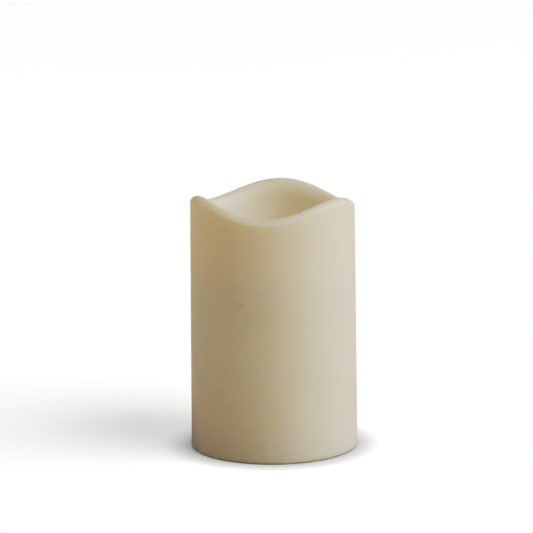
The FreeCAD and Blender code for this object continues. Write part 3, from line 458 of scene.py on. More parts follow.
RESIN_DEEP, RESIN_PALE = rgba(0.83, 0.765, 0.63), rgba(0.88, 0.825, 0.70)
RESIN_DEPTH, RESIN_REACH = 8.0, (1.0, 0.80, 0.50)    # the reach is a share of the depth, for each colour
# Painted shade and light: the resin is darker and warmer towards the foot, and cooler towards the crests to
# offset the warm light through the rim.
FOOT_PAINTED_SHADE, CREST_PAINTED_COOL_LIGHT = rgba(0.965, 0.975, 0.99), rgba(0.99, 1.01, 1.045)
WELL_PAINTED_LIGHT = rgba(1.08, 1.058, 1.065)                 # painted light: the resin inside the well is made lighter
UPWARD_PAINTED_SHADE = rgba(0.925, 0.85, 0.785)               # painted shade: faces that look up, such as the rim's top, are darker and warmer
SPECK_ANGLE, SPECK_Z, SPECK_SIZE = -104.4, 78.2, 0.34


def candle_resin():
    """Cast ivory resin: cloudy, light passes a few millimetres into it, satin skin, one dark speck."""
    g = Graph("candle_resin")
    cloud = g.noise(28, detail=4, roughness=0.6)
    fleck = g.noise(1.6, detail=3, roughness=0.7)
    base = g.mix(cloud, RESIN_DEEP, RESIN_PALE)
    base = g.mix(g.remap(fleck, 0.66, 0.8, 0.0, 0.12), base, scaled(RESIN_DEEP, 0.8))
    height = g.axis("Z")
    rise = g.remap(height, 0.0, HEIGHT, 0.0, 1.0)
    # Painted shade towards the foot, painted cooler light towards the crests.
    base = g.tinted(base, g.mix(rise, FOOT_PAINTED_SHADE, CREST_PAINTED_COOL_LIGHT))
    # Painted light: the resin inside the well is made lighter.
    inside = g.remap(g.from_axis(0, 0), WELL_FLOOR_RADIUS, WELL_FLOOR_RADIUS + RIM_THICKNESS, 1.0, 0.0)
    well = g.math("MULTIPLY", inside, g.math("GREATER_THAN", height, CEILING_Z))
    base = g.tinted(base, g.mix(well, WHITE, WELL_PAINTED_LIGHT))
    # Painted shade: faces that look up are made darker and warmer.
    painted_top_shade = g.remap(g.facing_up(), 0.2, 0.9, 0.0, 1.0)
    base = g.tinted(base, g.mix(painted_top_shade, WHITE, UPWARD_PAINTED_SHADE))
    speck_place = at_angle(BASE_RADIUS - DRAFT * SPECK_Z, SPECK_ANGLE)
    ragged = g.math("MULTIPLY", fleck, SPECK_SIZE)
    away = g.math("ADD", g.from_point((*speck_place, SPECK_Z)), ragged)
    speck = g.remap(away, SPECK_SIZE, SPECK_SIZE * 1.6, 1.0, 0.0)
    g.set(Base_Color=g.mix(speck, base, scaled(RESIN_DEEP, 0.5)))
    g.subsurface(RESIN_DEPTH, RESIN_REACH)
    skin = g.noise(0.9, detail=4, roughness=0.6)
    g.set(Roughness=g.spread(skin, 0.42, 0.52), IOR=1.45, Specular_IOR_Level=0.3)
    ripple = g.noise(9.0, detail=2, roughness=0.4, stretch=(1, 1, 0.5))
    g.bump((ripple, 0.10), (skin, 0.012))
    return g.material


def flame_plastic():
    """Frosted plastic with a faint upward swirl, thin enough to glow."""
    g = Graph("flame_plastic")
    swirl = g.noise(4.0, detail=3, roughness=0.55, stretch=(1, 1, 0.3))
    g.set(Base_Color=g.mix(swirl, rgba(0.95, 0.88, 0.70), rgba(0.99, 0.96, 0.86)))
    g.subsurface(3.0, (1.0, 0.85, 0.6))
    g.set(Roughness=g.spread(swirl, 0.26, 0.36), IOR=1.5, Coat_Weight=0.25, Coat_Roughness=0.2)
    g.bump((swirl, 0.10), (g.noise(0.5, detail=2), 0.01))
    return g.material


def lamp_epoxy():
    """Tinted clear epoxy with a little haze."""
    g = Graph("lamp_epoxy")
    haze = g.noise(1.5, detail=2)
    g.set(Base_Color=g.mix(haze, rgba(0.97, 0.84, 0.52), rgba(1.0, 0.92, 0.68)), Transmission_Weight=0.9)
    g.set(Roughness=g.spread(haze, 0.04, 0.12), IOR=1.53)
    g.bump((haze, 0.01))
    return g.material


def moulded(name, colour, roughness=0.42, grain=0.35, depth=0.008, sink=0.02):
    """Injection-moulded plastic: a fine spark-eroded grain over slow sink marks."""
    g = Graph(name)
    cloud = g.noise(14, detail=3)
    g.set(Base_Color=g.mix(cloud, scaled(colour, 0.93), scaled(colour, 1.05)))
    fine = g.noise(grain, detail=3, roughness=0.65)
    g.set(Roughness=g.spread(fine, roughness - 0.06, roughness + 0.06))
    g.bump((g.noise(6, detail=1), sink), (fine, depth))
    return g.material


EJECTOR_PLACES = [(x, y) for x in (-24.0, 24.0) for y in (-22.0, 22.0)]
EJECTOR_RADIUS, EJECTOR_EDGE = 2.0, 0.1
PLAIN_IVORY = (rgba(0.80, 0.75, 0.63), rgba(0.88, 0.84, 0.73))


def housing_plastic():
    """Ivory moulded plastic with the round marks that ejector pins leave."""
    g = Graph("housing_plastic")
    cloud = g.noise(14, detail=3)
    g.set(Base_Color=g.mix(cloud, *PLAIN_IVORY))
    fine = g.noise(0.35, detail=3, roughness=0.65)
    g.set(Roughness=g.spread(fine, 0.38, 0.52))
    marks = 0.0
    inner, outer = EJECTOR_RADIUS - EJECTOR_EDGE, EJECTOR_RADIUS + EJECTOR_EDGE
    for x, y in EJECTOR_PLACES:
        marks = g.math("ADD", marks, g.remap(g.from_axis(x, y), inner, outer, 0.0, 1.0))
    g.bump((marks, 0.08), (fine, 0.008))
    return g.material


RUBBED_RADII = (12.0, 20.0)           # rubbed all over inside the first, and not at all outside the second


def cap_plastic():
    """The housing's plastic, rubbed smoother where fingers turn it."""
    g = Graph("cap_plastic")
    cloud = g.noise(10, detail=3)
    rubbed = g.remap(g.from_axis(CAP_X, 0), *RUBBED_RADII, 1.0, 0.0)
    clean = g.mix(cloud, *PLAIN_IVORY)
    g.set(Base_Color=g.mix(g.math("MULTIPLY", rubbed, 0.25), clean, rgba(0.72, 0.66, 0.53)))
    fine = g.noise(0.35, detail=3, roughness=0.65)
    worn = g.remap(rubbed, 0.0, 1.0, 0.46, 0.34)
    g.set(Roughness=g.math("ADD", worn, g.spread(fine, -0.05, 0.05)))
    g.bump((g.noise(5, detail=1), 0.02), (fine, 0.007))
    return g.material


def metal(name, colour, roughness=0.28, drawn=(1, 1, 1)):
    """Bare or plated metal, with cloudy tarnish and fine lines across the stretched directions."""
    g = Graph(name)
    cloud = g.noise(3.0, detail=4, roughness=0.6)
    g.set(Base_Color=g.mix(cloud, scaled(colour, 0.78), colour), Metallic=1.0)
    lines = g.noise(0.3, detail=3, roughness=0.7, stretch=drawn)
    g.set(Roughness=g.spread(lines, roughness - 0.07, roughness + 0.12))
    g.bump((lines, 0.004))
    return g.material


THREAD_PITCH, THREAD_DEPTH = 0.8, 0.2


def screw_steel():
    """Zinc-plated steel, with a thread round everything upright."""
    g = Graph("screw_steel")
    cloud = g.noise(2.0, detail=4, roughness=0.6)
    turns = g.math("SINE", g.math("MULTIPLY", g.axis("Z"), 2 * math.pi / THREAD_PITCH))
    bright = g.mix(cloud, rgba(0.52, 0.54, 0.57), rgba(0.70, 0.72, 0.74))
    # Painted shade: the steel is darker in the thread's grooves.
    g.set(Base_Color=g.mix(g.remap(turns, -1.0, 0.0, 0.4, 0.0), bright, rgba(0.25, 0.25, 0.26)), Metallic=1.0)
    g.set(Roughness=g.spread(cloud, 0.2, 0.36))
    g.bump((turns, THREAD_DEPTH / 2), (g.noise(0.3, detail=3), 0.004))
    return g.material


def rubber(name, colour):
    """Matt rubber with a bloom of dust."""
    g = Graph(name)
    dust = g.noise(2.0, detail=4, roughness=0.7)
    g.set(Base_Color=g.mix(g.remap(dust, 0.55, 0.8, 0.0, 0.4), colour, scaled(colour, 2.2)))
    fine = g.noise(0.25, detail=3)
    g.set(Roughness=g.spread(fine, 0.70, 0.88), Specular_IOR_Level=0.35)
    g.bump((fine, 0.01))
    return g.material


def insulation(name, colour):
    """Extruded insulation, which shows the strands under it as faint ripples."""
    g = Graph(name)
    cloud = g.noise(5.0, detail=2)
    g.set(Base_Color=g.mix(cloud, scaled(colour, 0.85), scaled(colour, 1.12)))
    strands = g.noise(0.5, detail=2)
    g.set(Roughness=g.spread(strands, 0.28, 0.42))
    g.bump((strands, 0.012))
    return g.material


CELL_SLEEVE = (0.7, 48.9)             # above the cell's flat end, as are the others
CELL_BAND_FROM = 35.0
CELL_RINGS = ((CELL_BAND_FROM, 0.5), (4.7, 0.3))    # where, and half how wide


def cell_can(name, node, nub_up):
    """A dry cell: steel ends, a dark printed sleeve, and a copper-coloured band at the nub's end."""
    g = Graph(name)
    height = g.axis("Z")
    low, high = low_corner(node).z, high_corner(node).z
    rise = g.math("SUBTRACT", height, low) if nub_up else g.math("SUBTRACT", high, height)
    start, end = CELL_SLEEVE
    sleeved = g.band(rise, (start + end) / 2, (end - start) / 2)
    banded = g.math("GREATER_THAN", rise, CELL_BAND_FROM)
    ringed = g.math("ADD", *(g.band(rise, *ring) for ring in CELL_RINGS))
    rub = g.noise(2.5, detail=4, roughness=0.65)
    dark = g.mix(rub, rgba(0.035, 0.04, 0.05), rgba(0.06, 0.065, 0.075))
    copper = g.mix(rub, rgba(0.62, 0.34, 0.16), rgba(0.72, 0.43, 0.22))
    printed = g.mix(ringed, g.mix(banded, dark, copper), rgba(0.75, 0.74, 0.70))
    steel = g.mix(rub, rgba(0.58, 0.57, 0.55), rgba(0.74, 0.73, 0.71))
    g.set(Base_Color=g.mix(sleeved, steel, printed))
    foil = g.math("MULTIPLY", g.math("MULTIPLY", sleeved, banded), 0.7)
    bare = g.math("SUBTRACT", 1.0, sleeved)
    g.set(Metallic=g.math("ADD", bare, foil), Roughness=g.spread(rub, 0.24, 0.36))
    g.bump((sleeved, 0.05), (rub, 0.006))
    return g.material


WEAVE_TURN = 9.0                      # radians of the weave's wave in a millimetre
LEGEND_RADIUS, LEGEND_HALF_WIDTH = 3.0, 0.12


def board_laminate():
    """Green solder mask over woven glass, brown at the cut edges, with a white ring for the capacitor."""
    g = Graph("board_laminate")
    threads = [g.math("SINE", g.math("MULTIPLY", g.axis(name), WEAVE_TURN)) for name in ("X", "Y")]
    weave = g.math("MULTIPLY", *threads)
    cloud = g.noise(6.0, detail=3)
    mask = g.mix(cloud, rgba(0.02, 0.13, 0.05), rgba(0.04, 0.20, 0.08))
    mask = g.mix(g.remap(weave, -1.0, 1.0, 0.0, 0.25), mask, rgba(0.06, 0.26, 0.11))
    on_top = g.math("GREATER_THAN", g.axis("Z"), BOARD_TOP_Z - 0.1)
    ring = g.band(g.from_axis(CAPACITOR.x, CAPACITOR.y), LEGEND_RADIUS, LEGEND_HALF_WIDTH)
    mask = g.mix(g.math("MULTIPLY", ring, on_top), mask, rgba(0.82, 0.82, 0.78))
    flat = g.math("GREATER_THAN", g.math("ABSOLUTE", g.facing_up()), 0.5)
    g.set(Base_Color=g.mix(flat, rgba(0.45, 0.36, 0.20), mask))
    g.set(Roughness=g.remap(flat, 0.0, 1.0, 0.75, 0.28))
    g.bump((weave, 0.01), (cloud, 0.01))
    return g.material


def copper_under_mask():
    """Tracks, which show through the solder mask as a lighter green."""
    g = Graph("masked_copper")
    cloud = g.noise(2.0, detail=3)
    g.set(Base_Color=g.mix(cloud, rgba(0.06, 0.27, 0.10), rgba(0.12, 0.38, 0.15)), Metallic=0.25)
    g.set(Roughness=g.spread(cloud, 0.24, 0.34))
    g.bump((cloud, 0.01))
    return g.material


CHIP_BODY_REACH = 1.97                # from its middle to where its legs come out
DIMPLE_X, DIMPLE_Y, DIMPLE_RADIUS = CHIP.x - 1.3, CHIP.y - 1.8, 0.35


def chip_epoxy():
    """Black moulding compound with a dimple at the first leg, and tinned legs."""
    g = Graph("chip_epoxy")
    fine = g.noise(0.25, detail=3, roughness=0.7)
    across = g.math("ABSOLUTE", g.math("SUBTRACT", g.axis("X"), CHIP.x))
    leg = g.math("GREATER_THAN", across, CHIP_BODY_REACH)
    body = g.mix(fine, rgba(0.018, 0.018, 0.02), rgba(0.04, 0.04, 0.043))
    dimple = g.math("LESS_THAN", g.from_axis(DIMPLE_X, DIMPLE_Y), DIMPLE_RADIUS)
    body = g.mix(dimple, body, rgba(0.10, 0.10, 0.105))
    tin = g.mix(fine, rgba(0.62, 0.62, 0.60), rgba(0.78, 0.78, 0.76))
    g.set(Base_Color=g.mix(leg, body, tin), Metallic=leg)
    g.set(Roughness=g.mix(leg, g.spread(fine, 0.5, 0.62), g.spread(fine, 0.25, 0.4)))
    g.bump((dimple, -0.1), (fine, 0.01))
    return g.material


STRIPE_EDGE_X = CAPACITOR.x - 2.1
CAN_TOP_RADIUS, CAN_TOP_Z = 2.0, high_corner("capacitor").z - 0.2
SCORE_HALF_WIDTH, SCORE_DEPTH = 0.25, 0.08


def capacitor_sleeve():
    """A dark blue shrunk sleeve with a pale stripe, and a bare aluminium top scored with a cross."""
    g = Graph("capacitor_sleeve")
    fine = g.noise(0.8, detail=3)
    x, y, z = (g.axis(name) for name in "XYZ")
    sleeve = g.mix(fine, rgba(0.02, 0.035, 0.10), rgba(0.035, 0.055, 0.15))
    stripe = g.math("LESS_THAN", x, STRIPE_EDGE_X)
    sleeve = g.mix(stripe, sleeve, rgba(0.55, 0.57, 0.60))
    inside = g.math("LESS_THAN", g.from_axis(CAPACITOR.x, CAPACITOR.y), CAN_TOP_RADIUS)
    top = g.math("MULTIPLY", inside, g.math("GREATER_THAN", z, CAN_TOP_Z))
    g.set(Base_Color=g.mix(top, sleeve, rgba(0.72, 0.72, 0.72)), Metallic=top)
    g.set(Roughness=g.spread(fine, 0.28, 0.4))
    from_lines = [
        g.math("ABSOLUTE", g.math("SUBTRACT", place, line_at))
        for place, line_at in ((x, CAPACITOR.x), (y, CAPACITOR.y))
    ]
    scored = g.remap(g.math("MINIMUM", *from_lines), 0.0, SCORE_HALF_WIDTH, 0.0, 1.0)
    g.bump((scored, SCORE_DEPTH), (fine, 0.01))
    return g.material


RESISTOR_BANDS = (
    (-2.0, rgba(0.25, 0.10, 0.04)), (-0.9, rgba(0.015, 0.015, 0.015)),
    (0.1, rgba(0.75, 0.22, 0.03)), (2.0, rgba(0.62, 0.45, 0.14)),
)
RESISTOR_BAND_HALF_WIDTH = 0.28
RESISTOR_BODY_REACH = 3.02            # from its middle to where its leads come out


def resistor_paint():
    """Tan enamel with four colour bands, and tinned leads."""
    g = Graph("resistor_paint")
    fine = g.noise(0.4, detail=3)
    along = g.math("SUBTRACT", g.axis("X"), RESISTORS.x)
    paint = g.mix(fine, rgba(0.62, 0.48, 0.30), rgba(0.72, 0.58, 0.38))
    for centre, colour in RESISTOR_BANDS:
        paint = g.mix(g.band(along, centre, RESISTOR_BAND_HALF_WIDTH), paint, colour)
    lead = g.math("GREATER_THAN", g.math("ABSOLUTE", along), RESISTOR_BODY_REACH)
    tin = g.mix(fine, rgba(0.60, 0.60, 0.58), rgba(0.78, 0.78, 0.76))
    g.set(Base_Color=g.mix(lead, paint, tin), Metallic=lead, Roughness=g.spread(fine, 0.25, 0.4))
    g.bump((fine, 0.015))
    return g.material


def pressed_laminate():
    """Brown phenolic paper, with its fibres."""
    g = Graph("switch_phenolic")
    fibre = g.noise(0.5, detail=4, roughness=0.65, stretch=(1, 0.25, 1))
    g.set(Base_Color=g.mix(fibre, rgba(0.22, 0.11, 0.04), rgba(0.42, 0.24, 0.10)))
    g.set(Roughness=g.spread(fibre, 0.4, 0.55))
    g.bump((fibre, 0.015))
    return g.material


MATERIALS = {
    "candle_resin": candle_resin(),
    "flame_plastic": flame_plastic(),
    "lamp_epoxy": lamp_epoxy(),
    "tinned_steel": metal("tinned_steel", rgba(0.74, 0.74, 0.72), 0.3, (1, 6, 1)),
    "holder_plastic": moulded("holder_plastic", rgba(0.86, 0.85, 0.80)),
    "screw_steel": screw_steel(),
    "sleeve_rubber": rubber("sleeve_rubber", rgba(0.02, 0.02, 0.022)),
    "wire_red": insulation("wire_red", rgba(0.50, 0.03, 0.025)),
    "wire_black": insulation("wire_black", rgba(0.02, 0.02, 0.022)),
    "wire_yellow": insulation("wire_yellow", rgba(0.75, 0.50, 0.04)),
    "housing_plastic": housing_plastic(),
    "cap_plastic": cap_plastic(),
    "cell_can": cell_can("cell_can", "battery_nub_up", nub_up=True),
    "contact_nickel": metal("contact_nickel", rgba(0.80, 0.77, 0.72), 0.22, (6, 1, 1)),
    "spring_nickel": metal("spring_nickel", rgba(0.82, 0.80, 0.76), 0.18),
    "board_laminate": board_laminate(),
    "chip_epoxy": chip_epoxy(),
    "crystal_can": metal("crystal_can", rgba(0.78, 0.78, 0.77), 0.2, (1, 1, 6)),
    "capacitor_sleeve": capacitor_sleeve(),
    "resistor_paint": resistor_paint(),
    "switch_phenolic": pressed_laminate(),
    "terminal_brass": metal("terminal_brass", rgba(0.80, 0.72, 0.52), 0.3, (1, 1, 6)),
    "slider_plastic": moulded("slider_plastic", rgba(0.035, 0.035, 0.038), 0.4),
    "seal_rubber": rubber("seal_rubber", rgba(0.06, 0.06, 0.065)),
    "rivet_brass": metal("rivet_brass", rgba(0.78, 0.60, 0.28), 0.24),
}
INVERTED_CELL = cell_can("cell_can_inverted", "battery_nub_down", nub_up=False)
MASKED_COPPER = copper_under_mask()


def dress_cad_nodes():
    slots = {row["node"]: row["material_slot"] for row in frame["record"]["subparts"]}
    for name, node in frame["nodes"].items():
        material = INVERTED_CELL if name == "battery_nub_down" else MATERIALS[slots[name]]
        node.data.materials.clear()
        node.data.materials.append(material)


def add_piece(name, shape, body, slot, material=None, bevel=0.0):
    made = shape_object(name, shape)
    finish_piece(made, body, material or MATERIALS[slot])
    if bevel:
        ease(made, bevel)
    return made


# ================================================================ the shell
def rim_height(angle):
    """The height of the rim's top at an angle in radians."""
    wave = math.cos(WAVE_CRESTS * (angle - math.radians(WAVE_ANGLE)))
    return HEIGHT - WAVE_AMPLITUDE + WAVE_AMPLITUDE * wave


def shell_outline(angle):
    """The shell's outline in (radius, height) at an angle in radians, from the recess's floor outwards."""
    top = rim_height(angle)

    def outside(z):
        return BASE_RADIUS - DRAFT * z

    wall_foot = (outside(FOOT_ROUND), FOOT_ROUND)
    foot_flat_end = wall_foot[0] - FOOT_ROUND
    wall_top = (outside(top - RIM_OUTER_ROUND), top - RIM_OUTER_ROUND)
    rim_top = wall_top[0] - RIM_OUTER_ROUND
    rim_inside = outside(HEIGHT) - RIM_THICKNESS
    rim_inside_z = top - RIM_INNER_ROUND
    well_flat_end = WELL_FLOOR_RADIUS - WELL_FLOOR_ROUND
    well_edge_z = WELL_FLOOR_Z + WELL_FLOOR_ROUND
    hole_edge = FLAME_HOLE_RADIUS + FLAME_HOLE_ROUND
    bay_flat_end, bay_edge_z = BAY_TOP_RADIUS - BAY_ROUND, CEILING_Z - BAY_ROUND
    return [
        (RECESS_RADIUS, SEAT_Z),
        (RECESS_RADIUS, RECESS_ROUND + EDGE_GUARD),
        *circle_arc((RECESS_RADIUS + RECESS_ROUND, RECESS_ROUND), RECESS_ROUND, 180, 270, 3),
        *line((RECESS_RADIUS + 2 * RECESS_ROUND, 0), (foot_flat_end, 0), 2)[1:],
        *circle_arc((foot_flat_end, FOOT_ROUND), FOOT_ROUND, 270, 360, 10),
        *line(wall_foot, wall_top, 60)[1:],
        *circle_arc((rim_top, wall_top[1]), RIM_OUTER_ROUND, 0, 90, 14),
        *arc((rim_top, rim_inside_z), (rim_top - rim_inside, RIM_INNER_ROUND), 90, 180, 18)[1:],
        *line((rim_inside, rim_inside_z), (WELL_FLOOR_RADIUS, well_edge_z), 20)[1:],
        *circle_arc((well_flat_end, well_edge_z), WELL_FLOOR_ROUND, 0, -90, 10),
        *line((well_flat_end, WELL_FLOOR_Z), (hole_edge, WELL_FLOOR_Z), 12)[1:],
        *circle_arc((hole_edge, WELL_FLOOR_Z - FLAME_HOLE_ROUND), FLAME_HOLE_ROUND, 90, 180, 4),
        *line((FLAME_HOLE_RADIUS, CEILING_Z), (bay_flat_end, CEILING_Z), 10),
        *circle_arc((bay_flat_end, bay_edge_z), BAY_ROUND, 90, 0, 6),
        *line((BAY_TOP_RADIUS, bay_edge_z), (BAY_BOTTOM_RADIUS, SEAT_Z), 30)[1:],
        (BAY_BOTTOM_RADIUS, SEAT_Z),
    ]


def candle_shell():
    """The shell, with bosses for the housing's screws and pads for the lamp holder's."""
    shell = shape_object("shell", ring_shape(shell_outline, 360))
    boss = [(0, SEAT_Z), (BOSS_RADIUS, SEAT_Z), (BOSS_RADIUS, BOSS_TOP_Z), (0, BOSS_TOP_Z + BOSS_RADIUS)]
    pad = [(0, PAD_BOTTOM_Z), (BOSS_RADIUS, PAD_BOTTOM_Z), (BOSS_RADIUS, PAD_TOP_Z), (0, PAD_TOP_Z)]
    added = [
        shape_object("added", turned_shape(outline, 40, place))
        for outline, places in ((boss, BOSS_PLACES), (pad, PAD_PLACES))
        for place in places
    ]
    unite(shell, added)
    finish_piece(shell, "root", MATERIALS["candle_resin"])
    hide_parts("candle_shell")


# ================================================================ the flame
def flame():
    """A hollow flame whose three soft lobes twist as they rise, on a neck and a flange."""
    tip = arc((0, FLAME_TIP_Z - FLAME_TIP_ROUND[1]), FLAME_TIP_ROUND, 35, 90, 5)
    outline = [
        (0, FLAME_INSIDE_TOP_Z),
        *smoothed(FLAME_INSIDE, 6),
        (FLAME_FLANGE_RADIUS - FLAME_FLANGE_CHAMFER, FLAME_FOOT_Z),
        (FLAME_FLANGE_RADIUS, FLAME_FOOT_Z + FLAME_FLANGE_CHAMFER),
        (FLAME_FLANGE_RADIUS, CEILING_Z),
        (FLAME_NECK_RADIUS, CEILING_Z),
        *smoothed(FLAME_OUTSIDE, 8),
        *tip[:-1],
        (0, FLAME_TIP_Z),
    ]
    points, faces = turned_shape(outline, 96)
    shaped = []
    for x, y, z in points:
        share = min(1.0, max(0.0, (z - WELL_FLOOR_Z) / (FLAME_TIP_Z - WELL_FLOOR_Z)))
        angle = math.atan2(y, x)
        lobes = math.cos(FLAME_LOBES * (angle - math.radians(FLAME_TWIST * share)))
        swell = 1 - FLAME_LOBE_DEPTH * math.sin(math.pi * share) * (1 - lobes)
        shaped.append((x * swell + FLAME_LEAN * share**2, y * swell, z))
    made = add_piece("flame", (shaped, faces), "root", "flame_plastic")
    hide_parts("flame_tip")


# ================================================================ marks on the underside
def bent_arrow(middle_angle):
    """An arrow bent round the cap's axis, with its head at its clockwise end, seen from above."""
    tail, head = middle_angle + ARROW_SPAN / 2, middle_angle - ARROW_SPAN / 2
    axis, inner, outer = (CAP_X, 0), ARROW_RADIUS - ARROW_WIDTH / 2, ARROW_RADIUS + ARROW_WIDTH / 2
    return [
        *circle_arc(axis, inner, tail, head, 14),
        at_angle(ARROW_RADIUS - ARROW_HEAD_WIDTH / 2, head, axis),
        at_angle(ARROW_RADIUS, head - ARROW_HEAD_SPAN, axis),
        at_angle(ARROW_RADIUS + ARROW_HEAD_WIDTH / 2, head, axis),
        *circle_arc(axis, outer, head, tail, 14),
    ]


def index_mark(place, way):
    """A triangle that points along the angle way."""
    return circle_arc(place, INDEX_SIZE, way, way + 240, 2)


def cap_marks():
    """Two arrows that show which way the cap opens, and its index."""
    outlines = [bent_arrow(middle_angle) for middle_angle in (90, 270)]
    outlines.append(index_mark((CAP_X + CAP_INDEX_RADIUS, 0), 0))
    low, high = CAP_UNDER_Z - MARK_HEIGHT, CAP_UNDER_Z + MARK_BITE
    shapes = [slab_shape(outline, low, high) for outline in outlines]
    add_piece("cap_marks", merged(shapes), "cap", "cap_plastic", bevel=0.08)


def cap_grip_ribs():
    """Upright ribs on both sides of the bar that turns the cap."""
    foot, shoulder, top = (CAP_UNDER_Z + rise for rise in (RIB_FOOT, RIB_SHOULDER, RIB_TOP))
    outline = [(0, foot), (RIB_FOOT_RADIUS, foot), (RIB_RADIUS, shoulder), (RIB_RADIUS, top), (0, top)]
    shapes = []
    for x in (CAP_X - GRIP_BAR / 2, CAP_X + GRIP_BAR / 2):
        for i in range(RIB_COUNT):
            y = (i - (RIB_COUNT - 1) / 2) * RIB_PITCH
            shapes.append(turned_shape(outline, 14, (x, y)))
    add_piece("cap_grip_ribs", merged(shapes), "cap", "cap_plastic")


def housing_marks():
    """Indices where the cap is closed and where it comes off, and signs for on, off and timer."""
    low, high = PLATE_UNDER_Z - MARK_HEIGHT, PLATE_UNDER_Z + MARK_BITE
    on, off, timer = -SWITCH_STEP, 0.0, SWITCH_STEP
    inner = SIGN_RADIUS - RING_WIDTH
    ring = [(inner, low), (inner, high), (SIGN_RADIUS, high), (SIGN_RADIUS, low)]
    outlines = [
        index_mark(at_angle(PLATE_INDEX_RADIUS, turn, (CAP_X, 0)), turn + 180)
        for turn in (0, CAP_LETS_GO)
    ]
    outlines += [
        ribbon_outline([(SIGN_X - SIGN_RADIUS, on), (SIGN_X + SIGN_RADIUS, on)], BAR_WIDTH),
        ribbon_outline([(SIGN_X, timer), (SIGN_X, timer + LONG_HAND)], HAND_WIDTH),
        ribbon_outline([(SIGN_X, timer), (SIGN_X + SHORT_HAND, timer)], HAND_WIDTH),
    ]
    shapes = [slab_shape(outline, low, high) for outline in outlines]
    shapes += [ring_shape(lambda angle: ring, 40, (SIGN_X, y)) for y in (off, timer)]
    add_piece("housing_marks", merged(shapes), "root", "housing_plastic", bevel=0.04)


# ================================================================ the board's copper and solder
def chip_leg(side, i):
    return (CHIP.x + side * CHIP_LEG_REACH, CHIP.y + (i - 1.5) * CHIP_LEG_PITCH)


def lead_pads():
    """Where leads and wires come through to the board's underside."""
    pads = [(CRYSTAL.x + side * CRYSTAL_LEAD, CRYSTAL.y) for side in (-1, 1)]
    pads += [(CAPACITOR.x + side * CAPACITOR_LEAD, CAPACITOR.y) for side in (-1, 1)]
    pads += [(RESISTORS.x + side * RESISTOR_REACH, y) for y in RESISTOR_Y for side in (-1, 1)]
    return pads + SWITCH_PADS


def board_tracks():
    """Copper tracks on both faces of the board, each along a route from pad to pad."""
    right = RESISTORS.x + RESISTOR_REACH
    left = RESISTORS.x - RESISTOR_REACH
    above = [
        [chip_leg(-1, 0), (-19.4, CHIP.y - 1.9), (-19.4, -9.0), (-14.0, -13.5), (0.0, -13.5)],
        [chip_leg(1, 3), (-9.8, CHIP.y + 1.9), (-9.8, 1.6), LAMP_PADS[1]],
        [chip_leg(-1, 3), (-17.2, 1.6), LAMP_PADS[0]],
        [chip_leg(1, 0), (-9.0, CHIP.y - 1.9), (-7.4, RESISTOR_Y[0] - 1.4), (-3.6, RESISTOR_Y[0])],
        [chip_leg(1, 1), (-8.0, CHIP.y - 0.6), (-3.6, RESISTOR_Y[1])],
        [chip_leg(1, 2), (-8.0, CHIP.y + 1.6), (-3.6, RESISTOR_Y[2])],
        [CONTACT_TABS[1], (-2.0, 7.6), (4.0, 7.6), (9.0, 10.5)],
    ]
    below = [
        [(right, RESISTOR_Y[0]), (7.6, -9.0), SWITCH_PADS[0]],
        [(right, RESISTOR_Y[2]), (7.0, 0.5), SWITCH_PADS[1]],
        [(left, RESISTOR_Y[2]), (-3.6, 3.0), (3.0, 9.0), SWITCH_PADS[2]],
        [(CAPACITOR.x + CAPACITOR_LEAD, CAPACITOR.y), (11.6, -6.4), SWITCH_PADS[0]],
        [(CAPACITOR.x - CAPACITOR_LEAD, CAPACITOR.y), (6.6, RESISTOR_Y[1]), (right, RESISTOR_Y[1])],
        [(CRYSTAL.x + CRYSTAL_LEAD, CRYSTAL.y), (-17.6, -1.2), (-12.0, 1.0), (left, 1.0)],
        [
            (CRYSTAL.x - CRYSTAL_LEAD, CRYSTAL.y),
            (-20.6, -8.0), (-14.5, -10.5), (left, -9.2), (left, RESISTOR_Y[0]),
        ],
    ]
    shapes = []
    for routes, low, high in ((above, BOARD_TOP_Z, BOARD_TOP_Z + COPPER), (below, BOARD_Z - COPPER, BOARD_Z)):
        shapes += [slab_shape(ribbon_outline(route, TRACK_WIDTH), low, high) for route in routes]
    add_piece("board_tracks", merged(shapes), "root", "board_laminate", MASKED_COPPER)


def solder_joints():
    """Concave cones of solder round the leads, underneath, and round the wires and tabs on top."""
    hollow = (SOLDER_FOOT - SOLDER_NECK, SOLDER_HEIGHT)
    low, high = BOARD_Z - SOLDER_HEIGHT, BOARD_TOP_Z + SOLDER_HEIGHT
    below = [(0, low), *arc((SOLDER_FOOT, low), hollow, 180, 90, 5), (0, BOARD_Z)]
    above = [(0, BOARD_TOP_Z), *arc((SOLDER_FOOT, high), hollow, 270, 180, 5), (0, high)]
    shapes = [turned_shape(below, 28, place) for place in lead_pads()]
    shapes += [turned_shape(above, 28, place) for place in LAMP_PADS + CONTACT_TABS]
    add_piece("solder_joints", merged(shapes), "root", "tinned_steel")


def cover_marks():
    """A plus and a minus on the cover, one over each cell."""
    x, arm = COVER_SIGN_X, COVER_SIGN_ARM
    minus_y, plus_y = middle("negative_contact").y, middle("positive_contact").y
    strokes = [
        [(x - arm, minus_y), (x + arm, minus_y)],
        [(x - arm, plus_y), (x + arm, plus_y)],
        [(x, plus_y - arm), (x, plus_y + arm)],
    ]
    low, high = COVER_TOP_Z - MARK_BITE, COVER_TOP_Z + COVER_SIGN_HEIGHT
    shapes = [slab_shape(ribbon_outline(stroke, COVER_SIGN_STROKE), low, high) for stroke in strokes]
    add_piece("cover_marks", merged(shapes), "root", "holder_plastic")


# ================================================================ floor, lights and camera
def openness(g, reach, least):
    """How open the floor is to what stands within reach of it: from least at the foot up to 1."""
    node = g.add("ShaderNodeAmbientOcclusion", {"Distance": reach * MM}, samples=8)
    return g.remap(node.outputs["AO"], 0.4, 1.0, least, 1.0)


